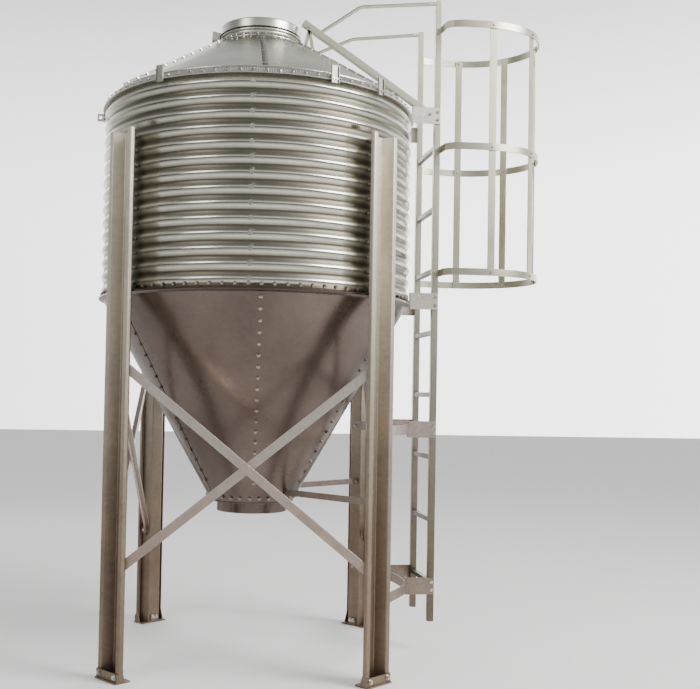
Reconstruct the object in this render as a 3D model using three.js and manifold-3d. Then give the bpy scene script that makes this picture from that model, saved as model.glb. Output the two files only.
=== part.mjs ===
// Hopper-bottom feed bin on four posts, with a side ladder, a back cage and a hinged lid.
// Millimetres, +Z up, the floor at z = 0. The bin's axis is the axis that everything is set from,
// and the whole assembly is shifted at the end so that its footprint is centred on the origin.
import * as THREE from "three";
import { mergeVertices } from "three/addons/utils/BufferGeometryUtils.js";
import Module from "manifold-3d";

// Clearance between pieces that touch.
const GAP = 0.3;

// Drum: a corrugated sheet ring.
const DRUM_CREST_R = 778;
const DRUM_VALLEY_R = 765.5;
const DRUM_INNER_R = 761;
const WAVE_PITCH = 66.6;
const WAVE_COUNT = 14;
const DRUM_BOTTOM_Z = 1756;
const DRUM_TOP_Z = DRUM_BOTTOM_Z + WAVE_COUNT * WAVE_PITCH;
const ROUND_SEGMENTS = 48;

// Roof: a crimped eave band, a low cone with standing seams, and the filler neck.
const EAVE_OUTER_R = 786;
const EAVE_INNER_R = 748;
const EAVE_TOP_Z = 2728;
const EAVE_SHEET = 4;
const ROOF_SLOPE = 0.62;
const ROOF_SHEET = 5;
const NECK_R = 200;
const NECK_SHEET = 5;
const NECK_TOP_Z = 3104;
const NECK_RIM_R = 212;
const NECK_RIM_H = 9;
const SEAM_COUNT = 6;
const SEAM_AZIMUTH = -3.5;
const SEAM_W = 26;
const SEAM_H = 14;

// Lid: a shallow cap with a skirt, hinged on the side away from the ladder.
const LID_R = 208;
const LID_SKIRT_Z = 3110;
const LID_EDGE_Z = 3156;
const LID_CROWN = 26;
const LID_SHEET = 4;
const HINGE_X = -238;
const HINGE_Z = 3122;
const HINGE_PIN_R = 5;
const HINGE_HOLE_R = 5.6;
const HINGE_ARM_W = 40;
const HINGE_EAR_T = 6;
const HINGE_SIDE_GAP = 5.5;

// Hopper: a sheet cone with a bolted top flange and an outlet collar.
const HOPPER_FLANGE_R = 787;
const HOPPER_RIM_Z = 1738;
const HOPPER_TOP_R = 764;
const HOPPER_LOW_R = 213;
const HOPPER_LOW_Z = 762;
const HOPPER_SHEET = 5;
const OUTLET_R = 176;
const OUTLET_SHEET = 6;
const OUTLET_LOW_Z = 704;
const OUTLET_FLANGE_R = 212;

// Posts: hat channels that open outwards, at four corners. The crown lies towards the bin, the
// walls flare out to two brims, and each brim ends in a lip turned back towards the bin.
const POST_AZIMUTH = 37.4;
const POST_FACE_R = 852;
const POST_CROWN_R = 797;
const POST_CROWN_HALF = 34;
const POST_BRIM_INNER = 55;
const POST_BRIM_OUTER = 81.5;
const POST_LIP = 19;
const POST_SHEET = 4;
const POST_WALL_SHIFT = 2.8;
const POST_BACK_R = POST_CROWN_R - POST_SHEET;
const POST_TOP_Z = 2475;
const FOOT_PLATE_T = 8;
const POST_BOTTOM_Z = FOOT_PLATE_T + GAP;

// Round spacers between the crown and the drum, two at the crest of every wave beside a post.
const SPACER_R = 9;
const SPACER_SIDE = 30;
const SPACER_COUNT = 11;

// Feet: a base plate with an upstand before the brims, one behind the crown, and two gussets.
const FOOT_HALF_W = 81;
const FOOT_OUT_R = 866;
const FOOT_EAR_T = 6;
const FOOT_EAR_H = 45;
const FOOT_BACK_HALF_W = 24;
const FOOT_BACK_T = 5;
const GUSSET_T = 4;
const GUSSET_DEPTH = 18;
const GUSSET_TOP_Z = 60;

// Braces between neighbouring posts: angle bars that end between a post's wall and its lip.
const BRACE_HIGH_Z = 1388;
const BRACE_LOW_Z = 520;
const BRACE_W = 42;
const BRACE_T = 5;
const BRACE_LEG = 18;
const BRACE_SIDE = 58;
const BRACE_R = 812;
const BRACE_TAB_FROM = 10;
const BRACE_TAB_L = 40;

// Stay bars from the outlet collar to the two right-hand posts.
const STAY_Z = 812;
const STAY_H = 30;
const STAY_T = 6;
const STAY_FOOT_W = 36;

// Ladder on the +X side.
const LADDER_X = 914;
const LADDER_Y = 80;
const LADDER_HALF = 175;
const STRINGER = 32;
const LADDER_LOW_Z = 152;
const LADDER_TOP_Z = { near: 3344, far: 3308 };
const RUNG_TOP_Z = 2584;
const RUNG_PITCH = 319.5;
const RUNG_COUNT = 8;
const RUNG_R = 11;

// Stand-off plates, one pair at each height, and the curved straps behind the two lower pairs.
const PLATE_T = 6;
const PLATE_H = 84;
const PLATE_OUT_X = 926;
const PLATE_FLANGE_W = 36;
const PLATES = {
  eave: { z: 2741, seatR: EAVE_OUTER_R, reach: 12 },
  flange: { z: 1783, seatR: HOPPER_FLANGE_R, reach: 0 },
  middle: { z: 1128, seatR: HOPPER_FLANGE_R, reach: 0 },
  low: { z: 333, seatR: HOPPER_FLANGE_R, reach: 0 },
};
const STRAP_H = 48;
const STRAP_T = 6;
const STRAP_END_HALF = 25;
const STRAP_BEND_AZIMUTH = 76;

// Roof rails and hand rails.
const RAIL_W = 30;
const RAIL_H = 34;
const RAIL_TOP_X = 207;
const RAIL_TOP_Z = 3182.5;
const RAIL_LOW_X = 842;
const RAIL_SLOPE = 0.6456;
const RAIL_LEG_X = 236;
const RAIL_LEG_W = 34;
const RAIL_LEG_T = 6;
const HAND_R = 9.5;
const HAND_BEND = { near: [503, 3286], far: [530, 3246] };
const HAND_TOP_DROP = 14;
const HAND_FOOT_X = 290;
const HAND_END_SLANT = 1.9;

// Cage: hoops with a half-oval end and two nearly straight sides, and flat straps inside them.
const CAGE_X = 1152;
const CAGE_LENGTH_R = 359;
const CAGE_HALF_W = 308;
const CAGE_SIDES = [[936, 262], [962, 286], [1020, 301]];
const HOOPS = { top: 3192, middle: 2567, bottom: 1929 };
const HOOP_H = 36;
const HOOP_T = 5;
const HOOP_STEPS = 32;
const HOOP_SAMPLES = 16;
const CAGE_STRAP_W = 38;
const CAGE_STRAP_T = 5;
const CAGE_STRAP_ANGLES = [-87, -43.5, 0, 43.5, 87];

// Lifting lug on the drum, below the eave.
const LUG_Z = 2668;
const LUG_H = 42;
const LUG_OUT = 36;
const LUG_T = 8;
const LUG_BASE_W = 54;
const LUG_BASE_T = 6;
const LUG_HOLE_R = 9;
const LUG_AZIMUTH = -90;

const wasm = await Module();
wasm.setup();

const galvanized = new THREE.MeshStandardMaterial({ color: 0xa9a79d, roughness: 0.35, metalness: 0.9 });
const zinc = new THREE.MeshStandardMaterial({ color: 0x857c70, roughness: 0.55, metalness: 0.75 });
const tube = new THREE.MeshStandardMaterial({ color: 0xb3b0a0, roughness: 0.45, metalness: 0.8 });

const silo = new THREE.Group();
const rad = THREE.MathUtils.degToRad;

function addMesh(name, geometry, material, parent = silo) {
  const mesh = new THREE.Mesh(geometry, material.clone());
  mesh.name = name;
  parent.add(mesh);
  return mesh;
}

// A group turned so that its -Y direction points to an azimuth, counted from -Y towards +X.
function atAzimuth(degrees) {
  const group = new THREE.Group();
  group.rotation.z = rad(degrees);
  silo.add(group);
  return group;
}

function toSolid(geometry) {
  const bare = geometry.index ? geometry.clone() : geometry;
  for (const attribute of ["normal", "uv"]) {
    if (bare.attributes[attribute]) bare.deleteAttribute(attribute);
  }
  const merged = mergeVertices(bare, 1e-4);
  const mesh = new wasm.Mesh({
    numProp: 3,
    vertProperties: new Float32Array(merged.attributes.position.array),
    triVerts: new Uint32Array(merged.index.array),
  });
  return new wasm.Manifold(mesh);
}

function toGeometry(solid) {
  const mesh = solid.getMesh();
  const geometry = new THREE.BufferGeometry();
  geometry.setAttribute("position", new THREE.BufferAttribute(new Float32Array(mesh.vertProperties), 3));
  geometry.setIndex(new THREE.BufferAttribute(new Uint32Array(mesh.triVerts), 1));
  geometry.computeVertexNormals();
  return geometry;
}

// Joins closed geometries into one solid and takes other geometries away from it.
function joined(parts, holes = []) {
  let solid = toSolid(parts[0]);
  for (const part of parts.slice(1)) solid = solid.add(toSolid(part));
  for (const hole of holes) solid = solid.subtract(toSolid(hole));
  return toGeometry(solid);
}

// A box given by its low and high corners.
function block(low, high) {
  const size = high.map((value, i) => value - low[i]);
  const geometry = new THREE.BoxGeometry(...size);
  geometry.translate(...high.map((value, i) => (value + low[i]) / 2));
  return geometry;
}

// A ring turned about Z from [radius, height] points that close on themselves.
function turned(points, segments = ROUND_SEGMENTS) {
  let area = 0;
  points.forEach(([r0, z0], i) => {
    const [r1, z1] = points[(i + 1) % points.length];
    area += r0 * z1 - r1 * z0;
  });
  const ordered = area > 0 ? points : [...points].reverse();
  const profile = [...ordered, ordered[0]].map(([r, z]) => new THREE.Vector2(r, z));
  return new THREE.LatheGeometry(profile, segments).rotateX(Math.PI / 2);
}

// A prism: a flat outline in x, y raised along z.
function prism(points, low, high) {
  const shape = new THREE.Shape(points.map(([x, y]) => new THREE.Vector2(x, y)));
  const geometry = new THREE.ExtrudeGeometry(shape, { depth: high - low, bevelEnabled: false });
  return geometry.translate(0, 0, low);
}

// A straight bar from a to b whose outline lies across it: outline x runs along side.
function bar(outline, a, b, side) {
  const along = new THREE.Vector3().subVectors(b, a);
  const length = along.length();
  const zAxis = along.normalize();
  const yAxis = new THREE.Vector3().crossVectors(zAxis, side).normalize();
  const xAxis = new THREE.Vector3().crossVectors(yAxis, zAxis);
  const frame = new THREE.Matrix4().makeBasis(xAxis, yAxis, zAxis).setPosition(a);
  return prism(outline, 0, length).applyMatrix4(frame);
}

function rectangle(width, height) {
  const x = width / 2;
  const y = height / 2;
  return [[-x, -y], [x, -y], [x, y], [-x, y]];
}

function roundOutline(radius, sides) {
  return Array.from({ length: sides }, (_, i) => {
    const angle = (2 * Math.PI * (i + 0.5)) / sides;
    return [radius * Math.cos(angle), radius * Math.sin(angle)];
  });
}

const vec = (x, y, z) => new THREE.Vector3(x, y, z);
const X_AXIS = vec(1, 0, 0);
const Y_AXIS = vec(0, 1, 0);

const roofZ = (r) => EAVE_TOP_Z + (EAVE_INNER_R - r) * ROOF_SLOPE;
const hopperSlope = (HOPPER_TOP_R - HOPPER_LOW_R) / (HOPPER_RIM_Z - HOPPER_LOW_Z);
const hopperR = (z) => HOPPER_LOW_R + (z - HOPPER_LOW_Z) * hopperSlope;

// Drum. The outside follows the corrugation and the inside is plain.
function drumGeometry() {
  const points = [[DRUM_INNER_R, DRUM_BOTTOM_Z], [DRUM_VALLEY_R, DRUM_BOTTOM_Z]];
  for (let wave = 0; wave < WAVE_COUNT; wave += 1) {
    const z = DRUM_BOTTOM_Z + wave * WAVE_PITCH;
    points.push([DRUM_CREST_R, z + WAVE_PITCH / 2], [DRUM_VALLEY_R, z + WAVE_PITCH]);
  }
  points.push([DRUM_INNER_R, DRUM_TOP_Z]);
  return turned(points);
}
addMesh("bin_body", drumGeometry(), galvanized);

// Eave band: a crimped ring that leans from the drum's top edge in to the roof sheets.
addMesh("eave_ring", turned([
  [DRUM_VALLEY_R - 6, DRUM_TOP_Z + GAP],
  [EAVE_OUTER_R, DRUM_TOP_Z + GAP],
  [EAVE_OUTER_R, DRUM_TOP_Z + GAP + EAVE_SHEET],
  [EAVE_INNER_R, EAVE_TOP_Z],
  [EAVE_INNER_R - 10, EAVE_TOP_Z],
]), galvanized);

// Roof cone with its six standing seams.
function roofGeometry() {
  const low = EAVE_INNER_R + 6;
  const high = NECK_R + GAP;
  const cone = turned([
    [low, roofZ(low) + GAP],
    [high, roofZ(high) + GAP],
    [high, roofZ(high) + GAP + ROOF_SHEET],
    [low, roofZ(low) + GAP + ROOF_SHEET],
  ]);
  const seams = [];
  for (let i = 0; i < SEAM_COUNT; i += 1) {
    const inner = NECK_RIM_R + 2;
    const outer = EAVE_INNER_R - 2;
    const a = vec(0, -outer, roofZ(outer) + GAP + ROOF_SHEET / 2 + SEAM_H / 2);
    const b = vec(0, -inner, roofZ(inner) + GAP + ROOF_SHEET / 2 + SEAM_H / 2);
    const seam = bar(rectangle(SEAM_W, SEAM_H), a, b, X_AXIS);
    seams.push(seam.rotateZ(rad(SEAM_AZIMUTH + (360 / SEAM_COUNT) * i)));
  }
  return joined([cone, ...seams]);
}
addMesh("roof_cone", roofGeometry(), galvanized);

// Filler neck with its rolled rim.
addMesh("filler_neck", turned([
  [NECK_R - NECK_SHEET, roofZ(NECK_R) - 16],
  [NECK_R, roofZ(NECK_R) - 16],
  [NECK_R, NECK_TOP_Z - NECK_RIM_H],
  [NECK_RIM_R, NECK_TOP_Z - NECK_RIM_H],
  [NECK_RIM_R, NECK_TOP_Z],
  [NECK_R - NECK_SHEET, NECK_TOP_Z],
]), zinc);

// Hinge bracket on the neck, with the pin fixed between its two ears.
function hingeBracket() {
  const halfArm = HINGE_ARM_W / 2;
  const earIn = halfArm + HINGE_SIDE_GAP;
  const earOut = earIn + HINGE_EAR_T;
  const wall = -(NECK_RIM_R + GAP);
  const low = NECK_TOP_Z - NECK_RIM_H - 8;
  const parts = [block([wall - 5, -earOut, low], [wall, earOut, NECK_TOP_Z])];
  for (const side of [-1, 1]) {
    const y0 = Math.min(side * earIn, side * earOut);
    const y1 = Math.max(side * earIn, side * earOut);
    parts.push(block([HINGE_X - 10, y0, low], [HINGE_X + 12, y1, HINGE_Z + 9]));
    parts.push(block([HINGE_X - 10, y0, low], [wall, y1, HINGE_Z - 8]));
  }
  const pin = bar(roundOutline(HINGE_PIN_R, 12), vec(HINGE_X, -earIn - 1, HINGE_Z),
    vec(HINGE_X, earIn + 1, HINGE_Z), X_AXIS);
  parts.push(pin);
  return joined(parts);
}
addMesh("lid_hinge_bracket", hingeBracket(), zinc);

// Lid: crown and skirt, with the hinge arm that goes round the pin.
function lidGeometry() {
  const shell = turned([
    [0.001, LID_EDGE_Z + LID_CROWN - LID_SHEET],
    [LID_R - LID_SHEET, LID_EDGE_Z - LID_SHEET],
    [LID_R - LID_SHEET, LID_SKIRT_Z],
    [LID_R, LID_SKIRT_Z],
    [LID_R, LID_EDGE_Z],
    [0.001, LID_EDGE_Z + LID_CROWN],
  ]);
  const half = HINGE_ARM_W / 2;
  const arm = block([HINGE_X - 9, -half, HINGE_Z - 9], [-LID_R + 2, half, HINGE_Z + 9]);
  const hole = bar(roundOutline(HINGE_HOLE_R, 16), vec(HINGE_X, -half - 1, HINGE_Z),
    vec(HINGE_X, half + 1, HINGE_Z), X_AXIS);
  return joined([shell, arm], [hole]);
}
addMesh("lid", lidGeometry(), galvanized);

// Hopper with its bolted top flange.
addMesh("hopper_cone", turned([
  [HOPPER_LOW_R - HOPPER_SHEET, HOPPER_LOW_Z],
  [HOPPER_LOW_R, HOPPER_LOW_Z],
  [HOPPER_TOP_R, HOPPER_RIM_Z],
  [HOPPER_FLANGE_R, HOPPER_RIM_Z + 8],
  [HOPPER_FLANGE_R, DRUM_BOTTOM_Z - GAP],
  [HOPPER_TOP_R - HOPPER_SHEET, DRUM_BOTTOM_Z - GAP],
  [HOPPER_TOP_R - HOPPER_SHEET, HOPPER_RIM_Z],
]), galvanized);

// Outlet collar under the hopper.
addMesh("outlet_collar", turned([
  [OUTLET_R - OUTLET_SHEET, OUTLET_LOW_Z],
  [OUTLET_R, OUTLET_LOW_Z],
  [OUTLET_R, HOPPER_LOW_Z - GAP - OUTLET_SHEET],
  [OUTLET_FLANGE_R, HOPPER_LOW_Z - GAP - OUTLET_SHEET],
  [OUTLET_FLANGE_R, HOPPER_LOW_Z - GAP],
  [OUTLET_R - OUTLET_SHEET, HOPPER_LOW_Z - GAP],
]), zinc);

// Post section, seen from above with the open side towards -Y.
function postOutline() {
  const t = POST_SHEET;
  const right = [
    [POST_CROWN_HALF, -POST_CROWN_R], [POST_BRIM_INNER, -POST_FACE_R],
    [POST_BRIM_OUTER, -POST_FACE_R], [POST_BRIM_OUTER, -POST_FACE_R + POST_LIP],
    [POST_BRIM_OUTER - t, -POST_FACE_R + POST_LIP], [POST_BRIM_OUTER - t, -POST_FACE_R + t],
    [POST_BRIM_INNER + POST_WALL_SHIFT, -POST_FACE_R + t],
    [POST_CROWN_HALF + POST_WALL_SHIFT, -POST_BACK_R],
  ];
  const left = right.map(([x, y]) => [-x, y]).reverse();
  return [...right, ...left];
}

function postGeometry() {
  const parts = [prism(postOutline(), POST_BOTTOM_Z, POST_TOP_Z)];
  for (let wave = 0; wave < SPACER_COUNT; wave += 1) {
    const z = DRUM_BOTTOM_Z + (wave + 0.5) * WAVE_PITCH;
    for (const x of [-SPACER_SIDE, SPACER_SIDE]) {
      const inside = vec(x, -POST_BACK_R - POST_SHEET / 2, z);
      const crest = vec(x, -DRUM_CREST_R - GAP, z);
      parts.push(bar(roundOutline(SPACER_R, 8), inside, crest, X_AXIS));
    }
  }
  return joined(parts);
}

function footGeometry() {
  const back = -POST_BACK_R + GAP;
  const face = -POST_FACE_R - GAP;
  const half = FOOT_HALF_W;
  const root = FOOT_PLATE_T - 1;
  const parts = [
    block([-half, -FOOT_OUT_R, 0], [half, back + FOOT_BACK_T, FOOT_PLATE_T]),
    block([-half, face - FOOT_EAR_T, root], [half, face, FOOT_EAR_H]),
    block([-FOOT_BACK_HALF_W, back, root], [FOOT_BACK_HALF_W, back + FOOT_BACK_T, FOOT_EAR_H]),
  ];
  const lip = -POST_FACE_R + POST_LIP + GAP;
  const triangle = [[lip, root], [lip + GUSSET_DEPTH, root], [lip, GUSSET_TOP_Z]];
  for (const x of [-POST_BRIM_OUTER, POST_BRIM_OUTER - GUSSET_T]) {
    const gusset = prism(triangle, 0, GUSSET_T).rotateX(Math.PI / 2).rotateZ(Math.PI / 2);
    parts.push(gusset.translate(x, 0, 0));
  }
  return joined(parts);
}

const corners = {
  front_right: POST_AZIMUTH,
  rear_right: POST_AZIMUTH + 90,
  rear_left: POST_AZIMUTH + 180,
  front_left: POST_AZIMUTH - 90,
};
for (const [corner, azimuth] of Object.entries(corners)) {
  const group = atAzimuth(azimuth);
  addMesh(`post_${corner}`, postGeometry(), zinc, group);
  addMesh(`foot_${corner}`, footGeometry(), zinc, group);
}

// Braces of one bay. The bay's left post stands at azimuth 0 in the bay's own frame and the right
// one at 90. Each bar has a bent tab at both ends that lies on the pocket side of a post's wall.
const BRACE_ENDS = { left: [0, 1], right: [90, -1] };

function braceGeometry(leftZ, rightZ, out) {
  const heights = { left: leftZ, right: rightZ };
  const wallRun = POST_BRIM_INNER - POST_CROWN_HALF;
  const wallTurn = Math.atan2(wallRun, POST_FACE_R - POST_CROWN_R);
  const wallX = POST_CROWN_HALF + POST_WALL_SHIFT;
  const bayOut = vec(1, -1, 0).normalize();
  const offset = out * (BRACE_T / 2 + GAP);
  const reach = BRACE_W * 3;
  const points = {};
  const tabs = [];
  const cuts = [];
  for (const [end, [azimuth, side]] of Object.entries(BRACE_ENDS)) {
    const z = heights[end];
    const turn = rad(azimuth);
    const point = vec(side * BRACE_SIDE, -BRACE_R, z).applyAxisAngle(vec(0, 0, 1), turn);
    points[end] = point.addScaledVector(bayOut, offset);
    const onWall = (from, to, start, finish, half) => block(
      [Math.min(side * from, side * to), -finish, z - half],
      [Math.max(side * from, side * to), -start, z + half],
    ).rotateZ(side * wallTurn).translate(side * wallX, -POST_BACK_R, 0).rotateZ(turn);
    tabs.push(onWall(GAP, GAP + BRACE_T, BRACE_TAB_FROM, BRACE_TAB_FROM + BRACE_TAB_L, BRACE_W / 2));
    cuts.push(onWall(GAP, -reach, -reach, reach, reach));
  }
  const along = vec().subVectors(points.right, points.left).normalize();
  const start = points.left.clone().addScaledVector(along, -BRACE_W);
  const end = points.right.clone().addScaledVector(along, BRACE_W);
  const w = BRACE_W / 2;
  const t = BRACE_T / 2;
  const angle = [
    [-t * out, w], [t * out, w], [t * out, BRACE_T - w],
    [(t + BRACE_LEG) * out, BRACE_T - w], [(t + BRACE_LEG) * out, -w], [-t * out, -w],
  ];
  return joined([bar(angle, start, end, bayOut), ...tabs], cuts);
}

const bays = { front: POST_AZIMUTH - 90, right: POST_AZIMUTH, left: POST_AZIMUTH + 180 };
for (const [bay, azimuth] of Object.entries(bays)) {
  const group = atAzimuth(azimuth);
  addMesh(`brace_${bay}_falling`, braceGeometry(BRACE_HIGH_Z, BRACE_LOW_Z, 1), tube, group);
  addMesh(`brace_${bay}_rising`, braceGeometry(BRACE_LOW_Z, BRACE_HIGH_Z, -1), tube, group);
}

// Stay bars from the hopper's lower end to the right-hand posts, each with a foot on the crown.
for (const corner of ["front_right", "rear_right"]) {
  const group = atAzimuth(corners[corner]);
  const low = STAY_Z - STAY_H / 2;
  const high = STAY_Z + STAY_H / 2;
  const seat = GAP * 2;
  const outer = POST_BACK_R - GAP;
  const side = [[hopperR(low) + seat, low], [outer, low], [outer, high], [hopperR(high) + seat, high]];
  const stay = prism(side, -STAY_T / 2, STAY_T / 2).rotateX(Math.PI / 2).rotateZ(-Math.PI / 2);
  const foot = block([-STAY_FOOT_W / 2, -outer, low], [STAY_FOOT_W / 2, -outer + STAY_T, high]);
  addMesh(`outlet_stay_${corner}`, joined([stay, foot]), zinc, group);
}

// Lifting lug: an eye plate on a base that lies against the topmost wave.
function lugGeometry() {
  const wall = -(DRUM_CREST_R + GAP);
  const low = LUG_Z - LUG_H / 2;
  const high = LUG_Z + LUG_H / 2 - 4;
  const base = block([-LUG_BASE_W / 2, wall - LUG_BASE_T, low], [LUG_BASE_W / 2, wall, high]);
  const eye = block([-LUG_T / 2, wall - LUG_OUT, low], [LUG_T / 2, wall - 1, high]);
  const centre = wall - LUG_OUT / 2 - 3;
  const hole = bar(roundOutline(LUG_HOLE_R, 12), vec(-LUG_T, centre, LUG_Z - 1),
    vec(LUG_T, centre, LUG_Z - 1), Y_AXIS);
  return joined([base, eye], [hole]);
}
addMesh("lifting_lug", lugGeometry(), zinc, atAzimuth(LUG_AZIMUTH));

// Ladder.
const stringerY = { near: LADDER_Y - LADDER_HALF, far: LADDER_Y + LADDER_HALF };
const outward = { near: -1, far: 1 };
const halfStringer = STRINGER / 2;
for (const [side, y] of Object.entries(stringerY)) {
  addMesh(`ladder_stringer_${side}`, block(
    [LADDER_X - halfStringer, y - halfStringer, LADDER_LOW_Z],
    [LADDER_X + halfStringer, y + halfStringer, LADDER_TOP_Z[side]],
  ), tube);
}
for (let i = 0; i < RUNG_COUNT; i += 1) {
  const z = RUNG_TOP_Z - i * RUNG_PITCH;
  const a = vec(LADDER_X, stringerY.near + halfStringer + GAP, z);
  const b = vec(LADDER_X, stringerY.far - halfStringer - GAP, z);
  addMesh(`ladder_rung_${i + 1}`, bar(roundOutline(RUNG_R, 10), a, b, X_AXIS), tube);
}

// A strip of even thickness along a path in plan, raised from low to high.
function strip(path, thickness, low, high) {
  const normals = path.map((point, i) => {
    const before = path[Math.max(i - 1, 0)];
    const after = path[Math.min(i + 1, path.length - 1)];
    const along = new THREE.Vector2(after[0] - before[0], after[1] - before[1]).normalize();
    return [along.y, -along.x];
  });
  const edge = (sign) => path.map(([x, y], i) => [
    x + (sign * thickness * normals[i][0]) / 2,
    y + (sign * thickness * normals[i][1]) / 2,
  ]);
  return prism([...edge(1), ...edge(-1).reverse()], low, high);
}

function arc(centreX, centreY, radius, fromDegrees, toDegrees, steps) {
  return Array.from({ length: steps + 1 }, (_, i) => {
    const angle = rad(fromDegrees + ((toDegrees - fromDegrees) * i) / steps);
    return [centreX + radius * Math.cos(angle), centreY + radius * Math.sin(angle)];
  });
}

// A point at a distance beside and before the middle of a post, in plan.
function besidePost(azimuth, side, radius) {
  const turn = rad(azimuth);
  return [
    side * Math.cos(turn) + radius * Math.sin(turn),
    side * Math.sin(turn) - radius * Math.cos(turn),
  ];
}

// Straps between the right-hand posts. Both ends lie flat on a post's crown; the near part runs
// straight to a bend and the rest follows the bin's round.
for (const level of ["middle", "low"]) {
  const { z, seatR } = PLATES[level];
  const middleR = seatR - STRAP_T / 2;
  const endR = POST_BACK_R - GAP - STRAP_T / 2;
  const round = arc(0, 0, middleR, STRAP_BEND_AZIMUTH - 90, corners.rear_right - 90 - 4, 18);
  const path = [
    besidePost(corners.front_right, -STRAP_END_HALF, endR),
    besidePost(corners.front_right, STRAP_END_HALF / 2, endR),
    ...round,
    besidePost(corners.rear_right, 0, endR),
    besidePost(corners.rear_right, STRAP_END_HALF, endR),
  ];
  addMesh(`ladder_strap_${level}`, toGeometry(toSolid(
    strip(path, STRAP_T, z - STRAP_H / 2, z + STRAP_H / 2),
  )), zinc);
}

// Stand-off plates: an upright plate on the stringer's outer side, with a flange turned inwards
// that lies against the bin or a strap.
for (const [level, { z, seatR, reach }] of Object.entries(PLATES)) {
  for (const [side, y] of Object.entries(stringerY)) {
    const out = outward[side];
    const innerY = y + out * (halfStringer + GAP);
    const outerY = innerY + out * PLATE_T;
    const low = z - PLATE_H / 2;
    const high = z + PLATE_H / 2;
    const seat = seatR + GAP;
    const startX = Math.sqrt(seat ** 2 - Math.min(Math.abs(innerY), Math.abs(outerY)) ** 2) + 1;
    const plate = block(
      [startX, Math.min(innerY, outerY), low],
      [PLATE_OUT_X, Math.max(innerY, outerY), high],
    );
    const middleY = outerY - out * (PLATE_FLANGE_W / 2);
    const angle = Math.asin(middleY / seat);
    const flange = block(
      [seat, -PLATE_FLANGE_W / 2, low - reach],
      [seat + PLATE_T, PLATE_FLANGE_W / 2, high],
    ).rotateZ(angle);
    addMesh(`ladder_plate_${level}_${side}`, joined([plate, flange]), zinc);
  }
}

// A round tube that bends smoothly through its points.
function tubeAlong(points, radius, sides, steps) {
  const shape = new THREE.Shape(roundOutline(radius, sides).map(([x, y]) => new THREE.Vector2(x, y)));
  const extrudePath = new THREE.CatmullRomCurve3(points, false, "catmullrom", 0.12);
  return new THREE.ExtrudeGeometry(shape, { steps, extrudePath, bevelEnabled: false });
}

// Roof rails with their legs on the roof and a hand rail above each.
const railZ = (x) => RAIL_TOP_Z - (x - RAIL_TOP_X) * RAIL_SLOPE;
for (const [side, y] of Object.entries(stringerY)) {
  const a = vec(RAIL_TOP_X, y, railZ(RAIL_TOP_X));
  const b = vec(RAIL_LOW_X, y, railZ(RAIL_LOW_X));
  const rail = bar(rectangle(RAIL_W, RAIL_H), a, b, Y_AXIS);
  const footR = Math.hypot(RAIL_LEG_X - RAIL_LEG_W / 2, Math.abs(y) - RAIL_LEG_T / 2);
  const leg = block(
    [RAIL_LEG_X - RAIL_LEG_W / 2, y - RAIL_LEG_T / 2, roofZ(footR) + GAP + ROOF_SHEET + GAP],
    [RAIL_LEG_X + RAIL_LEG_W / 2, y + RAIL_LEG_T / 2, railZ(RAIL_LEG_X)],
  );
  const [bendX, bendZ] = HAND_BEND[side];
  const hand = tubeAlong([
    vec(HAND_FOOT_X, y, railZ(HAND_FOOT_X)),
    vec(bendX, y, bendZ),
    vec(LADDER_X - halfStringer - GAP - HAND_END_SLANT, y, LADDER_TOP_Z[side] - HAND_TOP_DROP),
  ], HAND_R, 10, 16);
  addMesh(`roof_rail_${side}`, joined([rail, leg, hand]), tube);
}

// Cage hoops, each from stringer to stringer.
function hoopPath() {
  const side = halfStringer + GAP + HOOP_T / 2;
  const half = CAGE_HALF_W - HOOP_T / 2;
  const length = CAGE_LENGTH_R - HOOP_T / 2;
  const near = [
    [LADDER_X - halfStringer + 2, stringerY.near - side], [LADDER_X + halfStringer, stringerY.near - side],
    ...CAGE_SIDES.map(([x, y]) => [x, LADDER_Y - y]),
  ];
  const oval = Array.from({ length: HOOP_STEPS + 1 }, (_, i) => {
    const angle = -Math.PI / 2 + (Math.PI * i) / HOOP_STEPS;
    return [CAGE_X + length * Math.cos(angle), LADDER_Y + half * Math.sin(angle)];
  });
  const far = near.map(([x, y]) => [x, 2 * LADDER_Y - y]).reverse();
  return [...near, ...oval, ...far];
}
for (const [level, z] of Object.entries(HOOPS)) {
  addMesh(`cage_hoop_${level}`, strip(hoopPath(), HOOP_T, z - HOOP_H / 2, z + HOOP_H / 2), tube);
}

// How far out along its normal a flat strap can lie before it meets the hoops' middle line.
function strapSeat(normal, beside) {
  const path = hoopPath().map(([x, y]) => new THREE.Vector2(x - CAGE_X, y - LADDER_Y));
  let nearest = Infinity;
  for (let i = 1; i < path.length; i += 1) {
    for (let k = 0; k <= HOOP_SAMPLES; k += 1) {
      const point = path[i - 1].clone().lerp(path[i], k / HOOP_SAMPLES);
      const outward = normal.dot(point);
      const across = Math.abs(normal.cross(point) - beside);
      if (outward > 0 && across <= CAGE_STRAP_W / 2) nearest = Math.min(nearest, outward);
    }
  }
  return nearest;
}

// Cage straps inside the hoops.
CAGE_STRAP_ANGLES.forEach((degrees, i) => {
  const angle = rad(degrees);
  const onOval = new THREE.Vector2(CAGE_LENGTH_R * Math.cos(angle), CAGE_HALF_W * Math.sin(angle));
  const normal = new THREE.Vector2(
    Math.cos(angle) / CAGE_LENGTH_R,
    Math.sin(angle) / CAGE_HALF_W,
  ).normalize();
  const beside = normal.cross(onOval);
  const outer = strapSeat(normal, beside) - HOOP_T / 2 - GAP;
  const geometry = block(
    [outer - CAGE_STRAP_T, beside - CAGE_STRAP_W / 2, HOOPS.bottom - HOOP_H / 2 + 1],
    [outer, beside + CAGE_STRAP_W / 2, HOOPS.top + HOOP_H / 4],
  );
  const mesh = addMesh(`cage_strap_${i + 1}`, geometry, tube);
  mesh.position.set(CAGE_X, LADDER_Y, 0);
  mesh.rotation.z = normal.angle();
});

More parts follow.
